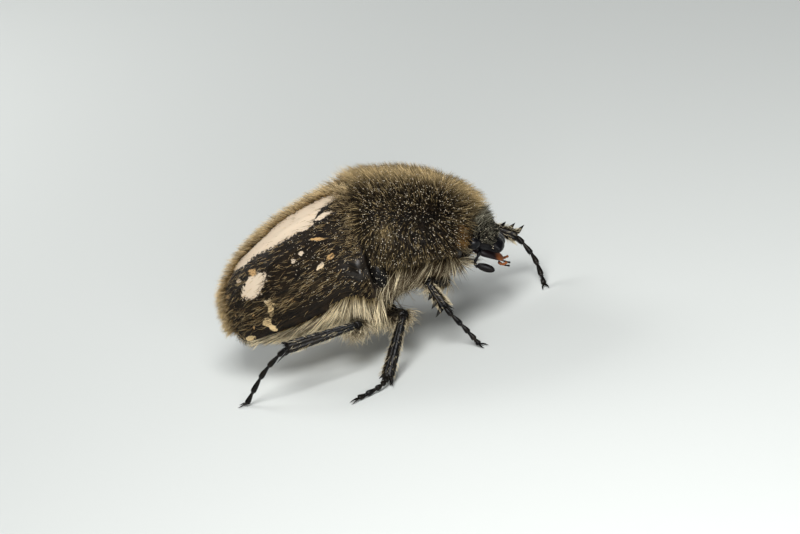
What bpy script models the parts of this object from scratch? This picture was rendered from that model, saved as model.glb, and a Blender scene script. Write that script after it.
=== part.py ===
"""Hairy rose beetle, a still life-size model standing on its six feet.

Every size below is in millimetres. The beetle is built with its rear tip near x = 0, its head
towards +X, its left side towards +Y and its feet on z = 0, then centred over its own footprint
and brought to metres. Shields and wing cases are grids bent over named widths and heights, legs
and feelers are swept through their joints, and the coat is tapered locks fused into the shell
that they grow from.
"""

import math
import random

import bmesh
import bpy
import numpy as np
from mathutils import Matrix, Vector

MM = 0.001
GAP = 0.2

# Pronotum, the domed shield over the front of the body
PRONOTUM_BASE_X = 6.98
PRONOTUM_LENGTH = 4.1
PRONOTUM_CORNER_X = 7.05
PRONOTUM_EDGE_LENGTH = 3.5
PRONOTUM_HALF_WIDTH = 2.8
PRONOTUM_NARROWING = 0.42
PRONOTUM_CREST_X = 6.6
PRONOTUM_CREST_REACH = 4.6
PRONOTUM_BROW_Z = 4.2
PRONOTUM_RISE = 2.75
PRONOTUM_EDGE_Z = 4.4
PRONOTUM_EDGE_FALL = 0.65
PRONOTUM_LIP = 0.12
PRONOTUM_HOLLOW = 0.3
PRONOTUM_SQUARENESS = 2.3
PRONOTUM_CREST_POWER = 1.8
PRONOTUM_TAPER_POWER = 3

# Wing cases
SUTURE_FRONT_X = 6.72
SUTURE_REACH = 7.08
SUTURE_REAR_Z = 2.6
SUTURE_RISE = 4.42
SUTURE_CREST_X = 6.3
SUTURE_CREST_REACH = 6.75
SUTURE_POWER = 1.5
SHOULDER_X = 6.74
SHOULDER_Y = 2.95
ELYTRON_EDGE_REACH = 7.05
ELYTRON_HALF_WIDTH = 3.15
ELYTRON_WIDEST_X = 4.9
ELYTRON_REAR_REACH = 5.3
ELYTRON_REAR_POWER = 2.6
ELYTRON_EDGE_Z = 1.85
ELYTRON_EDGE_SLOPE = 0.32
ELYTRON_SQUARENESS = 2.35
ELYTRON_WALL = 0.42
ELYTRON_REAR_SHARE = 0.95
SHOULDER_LOBE = 0.75
SHOULDER_LOBE_X = 6.5
SHOULDER_LOBE_REACH = 0.6
APEX_LIFT = 0.45
APEX_X = -0.1
APEX_REACH = 0.35
CALLUS_HEIGHT = 0.16
CALLUS_X = 6.25
CALLUS_REACH = 0.5
CALLUS_TURN = 1.15
CALLUS_SPREAD = 0.2

# Scutellum, the small triangle between the wing cases
SCUTELLUM_TIP_X = 5.55
SCUTELLUM_HALF_WIDTH = 0.72
SCUTELLUM_THICKNESS = 0.35

# Underside
BELLY_Z = 1.72
THORAX_FRONT_X = 6.78
THORAX_REAR_X = 4.55
THORAX_HALF_WIDTH = 2.42
ABDOMEN_FRONT_X = THORAX_REAR_X - GAP
ABDOMEN_REAR_X = 1.1
ABDOMEN_REAR_RISE = 0.4
TRUNK_INSET = 0.2
TRUNK_SQUARENESS = 2.3
STERNITES = 5
STERNITE_STEP = 0.035
PROSTERNUM_REAR_X = THORAX_FRONT_X + GAP
PROSTERNUM_FRONT_X = 10.15
PROSTERNUM_Z = 2.5
PROSTERNUM_HALF_WIDTH = 2.3
PROSTERNUM_NARROWING = 0.95
PROSTERNUM_FLANK = 0.3
PROSTERNUM_RISE = 0.3

# Pygidium, the plate that closes the rear
PYGIDIUM_CENTRE = (0.34, 0.0, 1.78)
PYGIDIUM_RADII = (0.25, 0.8, 0.38)

# Head, from the neck down to the notched edge of the clypeus
NECK = (10.88, 3.78)
CLYPEUS = (12.0, 2.62)
HEAD_HALF_WIDTH = 1.0
HEAD_SQUARENESS = 2.5
CLYPEUS_HALF_WIDTH = 0.66
HEAD_HALF_DEPTH = 0.6
CLYPEUS_HALF_DEPTH = 0.2
CLYPEUS_NOTCH = 0.22
EYE_RADIUS = 0.34
EYE_CENTRE = (11.0, 0.98, 3.57)
EYE_SEAT_GAP = 0.06

# Mouthparts, below the clypeus with the mouth line as the gap between
MOUTH_PATH = ((11.1, 0.0, 2.5), (11.4, 0.0, 2.34), (11.7, 0.0, 2.16), (11.9, 0.0, 2.04))
MOUTH_HALF_WIDTHS = (0.5, 0.48, 0.4, 0.25)
MOUTH_HALF_DEPTHS = (0.2, 0.22, 0.18, 0.12)

# Feelers
FEELER_RADIUS = 0.17
FEELER_JOINTS = ((11.08, 1.14, 2.88), (10.84, 1.2, 2.72), (10.86, 1.25, 2.58), (11.1, 1.25, 2.46))
CLUB_CENTRE = (11.22, 1.25, 2.38)
CLUB_RADII = (0.4, 0.18, 0.2)
CLUB_DROP = 34.0

# Legs, each from its coxa over the knee and ankle to the foot, with the way that its toothed edge faces
FEMUR_RADIUS = 0.44
FEMUR_FLATNESS = 0.75
FEMUR_BULK = (0.75, 1.0, 1.0, 0.95, 0.9, 0.8, 0.6)
TIBIA_RADIUS = 0.27
TIBIA_FLATNESS = 0.8
TIBIA_BULK = (0.8, 1.15)
KNEE_RADIUS = 0.3
TARSUS_RADIUS = 0.2
TARSUS_BULK = (0.75, 0.95, 1.1)
TARSUS_TIP_BULK = 0.85
TARSUS_SEGMENTS = 5
CLAW_LENGTH = 0.42
CLAW_RADIUS = 0.12
CLAW_SPREAD = 0.55
CLAW_DROP = 0.25
CLAW_OFFSET = 0.05
FOOT_Z = 0.13
TOOTH_RADIUS = 0.15
TOOTH_LEAN = 0.5
TIBIA_TEETH = {
    "front": ((0.45, 0.3), (0.7, 0.36), (0.95, 0.42)),
    "mid": ((0.5, 0.18), (0.97, 0.3)),
    "hind": ((0.5, 0.18), (0.97, 0.3)),
}
COXA_DROP = GAP + FEMUR_FLATNESS * FEMUR_RADIUS
FRONT_COXA_Z = PROSTERNUM_Z - COXA_DROP
COXA_Z = BELLY_Z - COXA_DROP
LEGS = {
    "front_right": {
        "coxa": (9.25, -0.7, FRONT_COXA_Z),
        "knee": (8.82, -2.3, 2.85),
        "ankle": (9.36, -3.0, 1.76),
        "arch": (9.99, -3.4, 0.79),
        "foot": (10.42, -3.75, FOOT_Z),
        "outer_edge": (-1.0, -0.2, 0.3),
    },
    "front_left": {
        "coxa": (9.25, 0.7, FRONT_COXA_Z),
        "knee": (11.1, 2.45, 2.75),
        "ankle": (12.2, 2.5, 1.89),
        "arch": (12.74, 1.9, 0.94),
        "foot": (12.98, 0.9, FOOT_Z),
        "outer_edge": (0.3, 0.5, 1.0),
    },
    "mid_right": {
        "coxa": (6.55, -1.0, COXA_Z),
        "knee": (7.62, -3.25, 2.05),
        "ankle": (6.55, -5.5, 0.34),
        "arch": (6.2, -5.85, 0.2),
        "foot": (5.3, -6.3, FOOT_Z),
        "outer_edge": (-1.0, 0.0, 0.5),
    },
    "mid_left": {
        "coxa": (6.55, 1.0, COXA_Z),
        "knee": (7.7, 3.3, 2.2),
        "ankle": (7.2, 5.3, 0.45),
        "arch": (7.0, 5.65, 0.24),
        "foot": (6.3, 6.3, FOOT_Z),
        "outer_edge": (-1.0, 0.0, 0.5),
    },
    "hind_right": {
        "coxa": (4.95, -1.1, COXA_Z),
        "knee": (5.66, -3.5, 2.2),
        "ankle": (2.54, -4.3, 2.28),
        "arch": (1.3, -4.2, 1.4),
        "foot": (0.1, -4.0, FOOT_Z),
        "outer_edge": (-0.3, 0.0, 1.0),
    },
    "hind_left": {
        "coxa": (4.95, 1.1, COXA_Z),
        "knee": (5.4, 3.6, 2.3),
        "ankle": (2.9, 4.4, 1.9),
        "arch": (1.9, 4.5, 1.0),
        "foot": (0.9, 4.6, FOOT_Z),
        "outer_edge": (-0.3, 0.0, 1.0),
    },
}

# Coat: flat locks that taper to a point and bend over towards the lie
LOCK_SINK = 0.18
LOCK_THINNESS = 0.42
LOCK_SHARES = (0.3, 0.68)
LOCK_TAPER = (1.0, 0.95, 0.62)
LEG_CLEARANCE = 0.56
COAT_CLEARANCE = 0.1
COATS = {
    "pronotum": {
        "spacing": 0.48,
        "length": 0.94,
        "width": 0.62,
        "lift": 0.86,
        "bend": 0.6,
        "lie": (-0.6, 0.0, -0.1),
    },
    "elytron": {
        "spacing": 0.68,
        "length": 0.78,
        "width": 0.52,
        "lift": 0.5,
        "bend": 0.9,
        "lie": (-1.0, 0.0, -0.2),
    },
    "thorax": {
        "spacing": 0.5,
        "length": 1.5,
        "width": 0.62,
        "lift": 0.45,
        "bend": 0.6,
        "lie": (-0.2, 0.0, -1.0),
    },
    "abdomen": {
        "spacing": 0.52,
        "length": 1.1,
        "width": 0.52,
        "lift": 0.35,
        "bend": 0.8,
        "lie": (-1.0, 0.0, -0.3),
    },
    "prosternum": {
        "spacing": 0.56,
        "length": 1.3,
        "width": 0.62,
        "lift": 0.4,
        "bend": 0.6,
        "lie": (-0.2, 0.0, -1.0),
    },
    "femur": {
        "spacing": 0.46,
        "length": 1.0,
        "width": 0.5,
        "lift": 0.35,
        "bend": 0.7,
        "lie": (-0.15, 0.0, -1.0),
    },
    "head": {
        "spacing": 0.44,
        "length": 0.36,
        "width": 0.3,
        "lift": 0.6,
        "bend": 0.6,
        "lie": (0.2, 0.0, 0.5),
    },
}
LIE_SPREAD = 0.2

BLACK = (0.02, 0.017, 0.015, 1.0)
BROWN_BLACK = (0.05, 0.04, 0.03, 1.0)
STRAW = (0.45, 0.36, 0.2, 1.0)
EYE_BLACK = (0.01, 0.009, 0.012, 1.0)
ORANGE = (0.5, 0.13, 0.05, 1.0)

for thing in list(bpy.data.objects):
    bpy.data.objects.remove(thing, do_unlink=True)

beetle = bpy.data.collections.new("hairy_rose_beetle")
bpy.context.scene.collection.children.link(beetle)
cutters = bpy.data.collections.new("cutters")
cutters.hide_render = True
bpy.context.scene.collection.children.link(cutters)


def material(name, colour, roughness):
    """Plain shell or hair material."""
    made = bpy.data.materials.new(name)
    made.use_nodes = True
    shader = made.node_tree.nodes["Principled BSDF"]
    shader.inputs["Base Color"].default_value = colour
    shader.inputs["Roughness"].default_value = roughness
    shader.inputs["Metallic"].default_value = 0.0
    made.diffuse_color = colour
    return made


def solid(name, corners, faces):
    """Closed mesh of these corners and faces, turned to face outwards."""
    mesh = bpy.data.meshes.new(name)
    mesh.from_pydata([tuple(map(float, corner)) for corner in corners], [], faces)
    work = bmesh.new()
    work.from_mesh(mesh)
    bmesh.ops.recalc_face_normals(work, faces=work.faces)
    if work.calc_volume(signed=True) < 0:
        bmesh.ops.reverse_faces(work, faces=work.faces)
    work.to_mesh(mesh)
    work.free()
    return mesh


def loft(name, rings):
    """Skin over a row of like rings, each end closed by a fan about its middle."""
    rings = np.asarray(rings, float)
    count, sides = rings.shape[:2]
    corners = list(rings.reshape(-1, 3))
    faces = []
    for low in range(0, (count - 1) * sides, sides):
        for k in range(sides):
            after = (k + 1) % sides
            faces.append((low + k, low + after, low + sides + after, low + sides + k))
    for row in (0, count - 1):
        middle = len(corners)
        corners.append(rings[row].mean(axis=0))
        for k in range(sides):
            faces.append((row * sides + k, row * sides + (k + 1) % sides, middle))
    return solid(name, corners, faces)


def shell(name, outer, inner):
    """Wall between two like grids, closed along its four rims."""
    rows, columns = outer.shape[:2]
    corners = list(outer.reshape(-1, 3)) + list(inner.reshape(-1, 3))
    under = rows * columns
    faces = []
    for row in range(rows - 1):
        for k in range(columns - 1):
            a = row * columns + k
            quad = (a, a + 1, a + columns + 1, a + columns)
            faces.append(quad)
            faces.append(tuple(corner + under for corner in reversed(quad)))
    rim = list(range(columns))
    rim += [row * columns + columns - 1 for row in range(1, rows)]
    rim += [(rows - 1) * columns + k for k in range(columns - 2, -1, -1)]
    rim += [row * columns for row in range(rows - 2, 0, -1)]
    for here, there in zip(rim, rim[1:] + rim[:1]):
        faces.append((here, there, there + under, here + under))
    return solid(name, corners, faces)


def ball(name, centre, radii, segments, rings):
    """Ellipsoid with its poles along X."""
    mesh = bpy.data.meshes.new(name)
    work = bmesh.new()
    bmesh.ops.create_uvsphere(work, u_segments=segments, v_segments=rings, radius=1.0)
    work.transform(Matrix.Rotation(math.pi / 2, 4, "Y"))
    work.transform(Matrix.Diagonal((*radii, 1.0)))
    work.transform(Matrix.Translation(centre))
    work.to_mesh(mesh)
    work.free()
    return mesh


def sweep(name, path, widths, depths, sides):
    """Rounded bar through the points of a path, with its own half width and half depth at each."""
    path = np.asarray(path, float)
    ahead = np.gradient(path, axis=0)
    ahead /= np.linalg.norm(ahead, axis=1)[:, None]
    across = np.cross(ahead, (0.0, 0.0, 1.0))
    across /= np.linalg.norm(across, axis=1)[:, None]
    upward = np.cross(across, ahead)
    turn = np.linspace(0.0, 2 * math.pi, sides, endpoint=False)
    wide = np.asarray(widths)[:, None, None] * across[:, None, :] * np.cos(turn)[None, :, None]
    deep = np.asarray(depths)[:, None, None] * upward[:, None, :] * np.sin(turn)[None, :, None]
    return loft(name, path[:, None, :] + wide + deep)


def arc(angle, across, rise, squareness):
    """Squared-off arc: distance to the side and height at an angle from its top."""
    power = 2.0 / squareness
    side = across * np.sign(np.sin(angle)) * np.abs(np.sin(angle)) ** power
    return side, rise * np.abs(np.cos(angle)) ** power


def pronotum_skin(along, angle):
    """Pronotum: along is 0 at the base and 1 in front, the angle is 0 on top and 90 degrees at the left."""
    top_x = PRONOTUM_BASE_X + PRONOTUM_LENGTH * along
    edge_x = PRONOTUM_CORNER_X + PRONOTUM_EDGE_LENGTH * along
    ahead = np.clip((top_x - PRONOTUM_CREST_X) / PRONOTUM_CREST_REACH, 0.0, 1.0)
    top_z = PRONOTUM_BROW_Z + PRONOTUM_RISE * np.sqrt(1.0 - ahead**PRONOTUM_CREST_POWER)
    edge_z = PRONOTUM_EDGE_Z - PRONOTUM_EDGE_FALL * along
    half_width = PRONOTUM_HALF_WIDTH * (1.0 - PRONOTUM_NARROWING * along**PRONOTUM_TAPER_POWER)
    y, z = arc(angle, half_width, top_z - edge_z, PRONOTUM_SQUARENESS)
    share = (np.abs(angle) / (math.pi / 2)) ** 2
    return np.stack([top_x + (edge_x - top_x) * share, y, edge_z + z], axis=-1)


def suture_height(x):
    """Height of the wing cases where they meet."""
    behind = np.clip((SUTURE_CREST_X - x) / SUTURE_CREST_REACH, 0.0, 1.0)
    return SUTURE_REAR_Z + SUTURE_RISE * np.sqrt(1.0 - behind**SUTURE_POWER)


def elytron_width(x):
    """Half width of the two wing cases together."""
    behind = np.clip((ELYTRON_WIDEST_X - x) / ELYTRON_REAR_REACH, 0.0, 1.0)
    shoulder = np.clip((x - ELYTRON_WIDEST_X) / (SHOULDER_X - ELYTRON_WIDEST_X), 0.0, 1.0)
    narrowing = (ELYTRON_HALF_WIDTH - SHOULDER_Y) * shoulder**4
    return ELYTRON_HALF_WIDTH * np.sqrt(1.0 - behind**ELYTRON_REAR_POWER) - narrowing


def elytron_edge_height(x):
    """Height of the side edge: a lobe at the shoulder, a slope to the rear, a lift to the tip."""
    lobe = SHOULDER_LOBE * np.exp(-(((x - SHOULDER_LOBE_X) / SHOULDER_LOBE_REACH) ** 2))
    lift = APEX_LIFT * np.exp(-(((x - APEX_X) / APEX_REACH) ** 2))
    return ELYTRON_EDGE_Z + ELYTRON_EDGE_SLOPE * x - lobe + lift


def elytron_skin(along, angle, inset=0.0):
    """Left wing case: along is 0 in front and 1 behind, the angle is 0 at the suture and 1 at the edge."""
    bend = np.sin(along * ELYTRON_REAR_SHARE * math.pi / 2)
    top_x = SUTURE_FRONT_X - SUTURE_REACH * bend
    edge_x = SHOULDER_X - ELYTRON_EDGE_REACH * bend
    half_width = np.maximum(elytron_width(edge_x) - inset, 0.05)
    edge_z = elytron_edge_height(edge_x)
    rise = np.maximum(suture_height(top_x) - inset - edge_z, 0.05)
    beside = np.clip((top_x - SCUTELLUM_TIP_X) / (SUTURE_FRONT_X - SCUTELLUM_TIP_X), 0.0, 1.0)
    suture_y = GAP / 2 + (SCUTELLUM_HALF_WIDTH + GAP / 2) * beside
    first = np.arcsin(np.clip(suture_y / half_width, 0.0, 0.9) ** (ELYTRON_SQUARENESS / 2))
    turned = first + (math.pi / 2 - first) * angle
    callus_x = (edge_x - CALLUS_X) / CALLUS_REACH
    callus_turn = (turned - CALLUS_TURN) / CALLUS_SPREAD
    callus = np.exp(-(callus_x**2) - callus_turn**2)
    y, z = arc(turned, half_width + CALLUS_HEIGHT * callus, rise, ELYTRON_SQUARENESS)
    x = top_x + inset * bend + (edge_x - top_x) * (turned / (math.pi / 2)) ** 2
    return np.stack([x, y, edge_z + z], axis=-1)


def trunk_point(x, turn, half_width, middle_z, top_z, bottom_z):
    """Point of the trunk: the turn is 0 on top, 90 degrees at the left side and 180 below."""
    y, rise = arc(turn, half_width, 1.0, TRUNK_SQUARENESS)
    height = np.where(np.cos(turn) >= 0.0, top_z - middle_z, bottom_z - middle_z)
    return np.stack(np.broadcast_arrays(x, y, middle_z + height * rise), axis=-1)


def around(count):
    """Angles of a closed ring of so many points."""
    return np.linspace(-math.pi, math.pi, count, endpoint=False)


def mesh_object(name, mesh, look, collection=beetle):
    made = bpy.data.objects.new(name, mesh)
    mesh.materials.clear()
    mesh.materials.append(look)
    collection.objects.link(made)
    return made


def join(name, pieces, look):
    """Node made of its first piece with the others fused into it."""
    node = mesh_object(name, pieces[0], look)
    if len(pieces) == 1:
        return node
    others = bpy.data.collections.new(name + "_pieces")
    cutters.children.link(others)
    for piece in pieces[1:]:
        mesh_object(piece.name, piece, look, others)
    fuse = node.modifiers.new("fuse", "BOOLEAN")
    fuse.operation = "UNION"
    fuse.operand_type = "COLLECTION"
    fuse.collection = others
    fuse.solver = "MANIFOLD"
    settle(node, others)
    return node


def keep_largest(mesh):
    """Drops the small closed surfaces that a fusion leaves inside or beside the main one."""
    work = bmesh.new()
    work.from_mesh(mesh)
    bmesh.ops.remove_doubles(work, verts=work.verts, dist=1e-4)
    bmesh.ops.dissolve_degenerate(work, edges=work.edges, dist=1e-4)
    islands = []
    left = set(work.faces)
    while left:
        island = {left.pop()}
        front = list(island)
        while front:
            for edge in front.pop().edges:
                for face in edge.link_faces:
                    if face in left:
                        left.discard(face)
                        island.add(face)
                        front.append(face)
        islands.append(island)
    islands.sort(key=len, reverse=True)
    spare = [face for island in islands[1:] for face in island]
    bmesh.ops.delete(work, geom=spare, context="FACES")
    work.to_mesh(mesh)
    work.free()


black = material("shell_black", BLACK, 0.35)
dark_coat = material("coat_dark", BROWN_BLACK, 0.8)
straw_coat = material("coat_straw", STRAW, 0.85)
eye_look = material("eye_black", EYE_BLACK, 0.15)
mouth_look = material("mouth_orange", ORANGE, 0.5)


def pronotum_mesh():
    """Domed shield with a slightly hollowed underside."""
    rings = []
    turn = np.linspace(-math.pi / 2, math.pi / 2, 17)
    across = np.linspace(0.9, -0.9, 7)
    for along in np.linspace(0.0, 1.0, 9):
        upper = pronotum_skin(np.full_like(turn, along), turn)
        edge = upper[-1]
        hollow = edge[2] - PRONOTUM_LIP + PRONOTUM_HOLLOW * (1.0 - across**2)
        under = np.stack([np.full_like(across, edge[0]), edge[1] * across, hollow], axis=-1)
        rings.append(np.concatenate([upper, under]))
    return loft("pronotum", rings)


def elytron_mesh(name, side):
    """Wing case as a wall of even thickness over the abdomen."""
    along, angle = np.meshgrid(np.linspace(0, 1, 15), np.linspace(0, 1, 10), indexing="ij")
    outer = elytron_skin(along, angle)
    inner = elytron_skin(along, angle, ELYTRON_WALL)
    flip = np.array([1.0, side, 1.0])
    return shell(name, outer * flip, inner * flip)


def scutellum_mesh():
    """Three-cornered plate between the wing cases."""
    corners = []
    for lower in (0.0, SCUTELLUM_THICKNESS):
        for x, y in (
            (PRONOTUM_BASE_X - GAP, SCUTELLUM_HALF_WIDTH),
            (PRONOTUM_BASE_X - GAP, -SCUTELLUM_HALF_WIDTH),
            (SCUTELLUM_TIP_X + GAP, 0.0),
        ):
            corners.append((x, y, suture_height(x) - lower))
    return solid("scutellum", corners, [(0, 1, 2), (5, 4, 3), (0, 3, 4, 1), (1, 4, 5, 2), (2, 5, 3, 0)])


def under_wing_top(x):
    """Height of the trunk below the wing cases."""
    return suture_height(x) - ELYTRON_WALL - GAP - TRUNK_INSET


def thorax_mesh():
    """Trunk between the prothorax and the abdomen."""
    stations = np.linspace(THORAX_REAR_X, THORAX_FRONT_X, 7)
    return loft("thorax", [thorax_point(x, around(20)) for x in stations])


def abdomen_mesh():
    """Trunk under the wing cases, with a step at each sternite."""
    stations = np.linspace(ABDOMEN_FRONT_X, ABDOMEN_REAR_X, 3 * STERNITES + 1)
    rings = [abdomen_point(x, around(20), STERNITE_STEP * (k % 3)) for k, x in enumerate(stations)]
    return loft("abdomen", rings)


def prosternum_mesh():
    """Underside of the prothorax."""
    stations = np.linspace(PROSTERNUM_REAR_X, PROSTERNUM_FRONT_X, 6)
    return loft("prosternum", [prosternum_point(x, around(20)) for x in stations])


def head_point(share, turn):
    """Point of the head: share is 0 at the neck and 1 at the edge of the clypeus, the turn is 0 in front."""
    ahead = Vector((CLYPEUS[0] - NECK[0], 0.0, CLYPEUS[1] - NECK[1])).normalized()
    cheek = HEAD_HALF_WIDTH * (1.0 - 0.12 * (1.0 - min(share / 0.2, 1.0)))
    snout = min(max((share - 0.3) / 0.4, 0.0), 1.0)
    half_width = cheek + (CLYPEUS_HALF_WIDTH - cheek) * snout * snout * (3.0 - 2.0 * snout)
    half_depth = HEAD_HALF_DEPTH + (CLYPEUS_HALF_DEPTH - HEAD_HALF_DEPTH) * share**1.6
    y, rise = arc(turn, half_width, half_depth, HEAD_SQUARENESS)
    rise = rise * np.sign(np.cos(turn))
    notch = CLYPEUS_NOTCH * share**6 * np.exp(-((y / CLYPEUS_NOTCH) ** 2))
    x = NECK[0] + (CLYPEUS[0] - NECK[0]) * share - ahead.z * rise - ahead.x * notch
    z = NECK[1] + (CLYPEUS[1] - NECK[1]) * share + ahead.x * rise - ahead.z * notch
    return np.stack([x, y, z], axis=-1)


def head_mesh():
    """Head with a cheek behind each eye and a notched clypeus."""
    shares = (0.0, 0.12, 0.28, 0.45, 0.6, 0.75, 0.88, 0.96, 1.0)
    return loft("head", [head_point(share, around(20)) for share in shares])


def cut(node, tools):
    """Takes the tools away from a node."""
    others = bpy.data.collections.new(node.name + "_tools")
    cutters.children.link(others)
    for tool in tools:
        made = mesh_object(tool.name, tool, black, others)
        made.display_type = "WIRE"
    less = node.modifiers.new("cut", "BOOLEAN")
    less.operation = "DIFFERENCE"
    less.operand_type = "COLLECTION"
    less.collection = others
    less.solver = "EXACT"
    settle(node, others)


def settle(node, others):
    """Applies the modifiers of a node and removes the pieces that they used."""
    graph = bpy.context.evaluated_depsgraph_get()
    result = bpy.data.meshes.new_from_object(node.evaluated_get(graph))
    node.modifiers.clear()
    node.data = result
    for piece in list(others.objects):
        bpy.data.objects.remove(piece, do_unlink=True)
    bpy.data.collections.remove(others)
    keep_largest(result)


def smooth_path(points, count):
    """Path of so many points through a few joints, rounded at each."""
    points = np.asarray(points, float)
    held = np.concatenate([points[:1], points, points[-1:]])
    spans = len(points) - 1
    path = []
    for t in np.linspace(0.0, spans, count):
        k = min(int(t), spans - 1)
        u = t - k
        a, b, c, d = held[k : k + 4]
        bend = (2 * a - 5 * b + 4 * c - d) * u**2 + (3 * b - a - 3 * c + d) * u**3
        path.append(0.5 * (2 * b + (c - a) * u + bend))
    return np.array(path)


def drawn_in(start, end, from_start, from_end):
    """The two ends of a leg part, each drawn in to clear the joint."""
    start, end = np.asarray(start, float), np.asarray(end, float)
    way = (end - start) / np.linalg.norm(end - start)
    return start + way * from_start, end - way * from_end


def femur_ends(leg):
    """Ends of a femur: the coxa, and the knee less its own radius."""
    return drawn_in(leg["coxa"], leg["knee"], 0.0, KNEE_RADIUS)


def femur_mesh(leg):
    """Coxa and femur in one: thick in the middle, slim at the knee."""
    bulk = FEMUR_RADIUS * np.array(FEMUR_BULK)
    return sweep("femur", np.linspace(*femur_ends(leg), len(bulk)), bulk, FEMUR_FLATNESS * bulk, 10)


def femur_skin(leg):
    """Lower side of a femur from beside the trunk to near the knee."""
    start, end = femur_ends(leg)
    across = np.cross(end - start, (0.0, 0.0, 1.0))
    across /= np.linalg.norm(across)
    upward = np.cross(across, end - start)
    upward /= np.linalg.norm(upward)

    def skin(u, v):
        share = 0.35 + 0.5 * u
        turn = math.radians(185.0 + 170.0 * v)
        bulk = FEMUR_RADIUS * np.interp(share, np.linspace(0.0, 1.0, len(FEMUR_BULK)), FEMUR_BULK)
        aside = bulk * (across * math.cos(turn) + FEMUR_FLATNESS * upward * math.sin(turn))
        return start + (end - start) * share + aside

    return skin


def room_round(node):
    """Convex room round a node, larger than it by the clearance of the coat."""
    work = bmesh.new()
    for corner in node.data.vertices:
        work.verts.new(corner.co)
    bmesh.ops.convex_hull(work, input=work.verts)
    inside = [corner for corner in work.verts if not corner.link_faces]
    bmesh.ops.delete(work, geom=inside, context="VERTS")
    bmesh.ops.recalc_face_normals(work, faces=work.faces)
    work.normal_update()
    for corner in work.verts:
        corner.co += corner.normal * COAT_CLEARANCE
    mesh = bpy.data.meshes.new("room")
    work.to_mesh(mesh)
    work.free()
    return mesh


def clear_legs(node):
    """Parts the coat of a node round the femora and the hair that hangs from them."""
    cut(node, [room_round(femur) for femur in femora])


def spike(name, root, way, length, radius):
    """Tooth, spur or claw: a short cone with its root sunk in."""
    way = np.asarray(way, float) / np.linalg.norm(way)
    root = np.asarray(root, float)
    path = [root - way * radius, root + way * length * 0.5, root + way * length]
    taper = radius * np.array((1.0, 0.7, 0.15))
    return sweep(name, path, taper, taper, 6)


def tibia_pieces(name, leg, row):
    """Tibia widening to its end, with teeth on its outer edge in front and spurs at the end behind."""
    start, end = drawn_in(leg["knee"], leg["ankle"], KNEE_RADIUS, GAP / 2)
    bulk = TIBIA_RADIUS * np.linspace(*TIBIA_BULK, 6)
    pieces = [sweep(name, np.linspace(start, end, 6), bulk, TIBIA_FLATNESS * bulk, 8)]
    down = (end - start) / np.linalg.norm(end - start)
    outward = np.cross(down, np.cross(np.array(leg["outer_edge"]), down))
    outward /= np.linalg.norm(outward)
    for share, length in TIBIA_TEETH[row]:
        root = start + (end - start) * share + outward * TIBIA_RADIUS / 2
        pieces.append(spike(name + "_tooth", root, outward + TOOTH_LEAN * down, length, TOOTH_RADIUS))
    return pieces


def tarsus_pieces(name, leg):
    """Five short segments, each widest at its far end, and a pair of claws with flat feet on the floor."""
    start = drawn_in(leg["ankle"], leg["arch"], GAP, 0.0)[0]
    path = smooth_path([start, leg["arch"], leg["foot"]], 3 * TARSUS_SEGMENTS)
    bulk = TARSUS_RADIUS * np.array(TARSUS_BULK * TARSUS_SEGMENTS)
    bulk[-3:] *= TARSUS_TIP_BULK
    pieces = [sweep(name, path, bulk, bulk, 8)]
    ahead = path[-1] - path[-2]
    ahead[2] = 0.0
    ahead /= np.linalg.norm(ahead)
    aside = np.cross(ahead, (0.0, 0.0, 1.0))
    for side in (-1.0, 1.0):
        root = path[-1] + aside * side * CLAW_OFFSET
        way = ahead + CLAW_SPREAD * side * aside - np.array([0.0, 0.0, CLAW_DROP])
        pieces.append(spike(name + "_claw", root, way, CLAW_LENGTH, CLAW_RADIUS))
    return pieces


def flatten_foot(node):
    """Cuts a foot level with the floor."""
    work = bmesh.new()
    work.from_mesh(node.data)
    geometry = list(work.verts) + list(work.edges) + list(work.faces)
    floor = {"plane_co": (0.0, 0.0, 0.0), "plane_no": (0.0, 0.0, -1.0)}
    level = bmesh.ops.bisect_plane(work, geom=geometry, clear_outer=True, **floor)["geom_cut"]
    bmesh.ops.holes_fill(work, edges=[item for item in level if isinstance(item, bmesh.types.BMEdge)])
    bmesh.ops.recalc_face_normals(work, faces=work.faces)
    work.to_mesh(node.data)
    work.free()


def feeler_pieces(name, side):
    """Short bent shaft with a three-leaved club."""
    flip = np.array([1.0, side, 1.0])
    path = smooth_path(np.array(FEELER_JOINTS) * flip, 7)
    thick = np.full(len(path), FEELER_RADIUS)
    pieces = [sweep(name, path, thick, thick, 8)]
    club = ball(name + "_club", (0, 0, 0), CLUB_RADII, 10, 6)
    club.transform(Matrix.Rotation(math.radians(CLUB_DROP), 4, "Y"))
    club.transform(Matrix.Translation(np.array(CLUB_CENTRE) * flip))
    pieces.append(club)
    return pieces


def lock(root, out, along, length, width, lift, bend):
    """Flat tapered lock: it leaves the shell between the way out and the way along, and bends over along."""
    across = np.cross(out, along)
    across /= np.linalg.norm(across)
    leaving = out * lift + along * (1.0 - lift)
    leaving /= np.linalg.norm(leaving)
    shares = np.array((0.0,) + LOCK_SHARES + (1.0,))[:, None]
    spine = root + length * (shares * leaving + 0.5 * bend * shares**2 * (along - leaving))
    spine[0] = root - out * LOCK_SINK
    facing = np.cross(across, np.gradient(spine, axis=0))
    facing /= np.linalg.norm(facing, axis=1)[:, None]
    corners = []
    for step, taper in enumerate(LOCK_TAPER):
        half = 0.5 * width * taper
        for side, deep in ((1, 0), (0, 1), (-1, 0), (0, -1)):
            corners.append(spine[step] + half * (side * across + LOCK_THINNESS * deep * facing[step]))
    corners.append(spine[3])
    faces = [(3, 2, 1, 0)]
    for low in (0, 4):
        for k in range(4):
            after = (k + 1) % 4
            faces.append((low + k, low + after, low + 4 + after, low + 4 + k))
    for k in range(4):
        faces.append((8 + k, 8 + (k + 1) % 4, 12))
    return spine, solid("lock", corners, faces)


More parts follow.
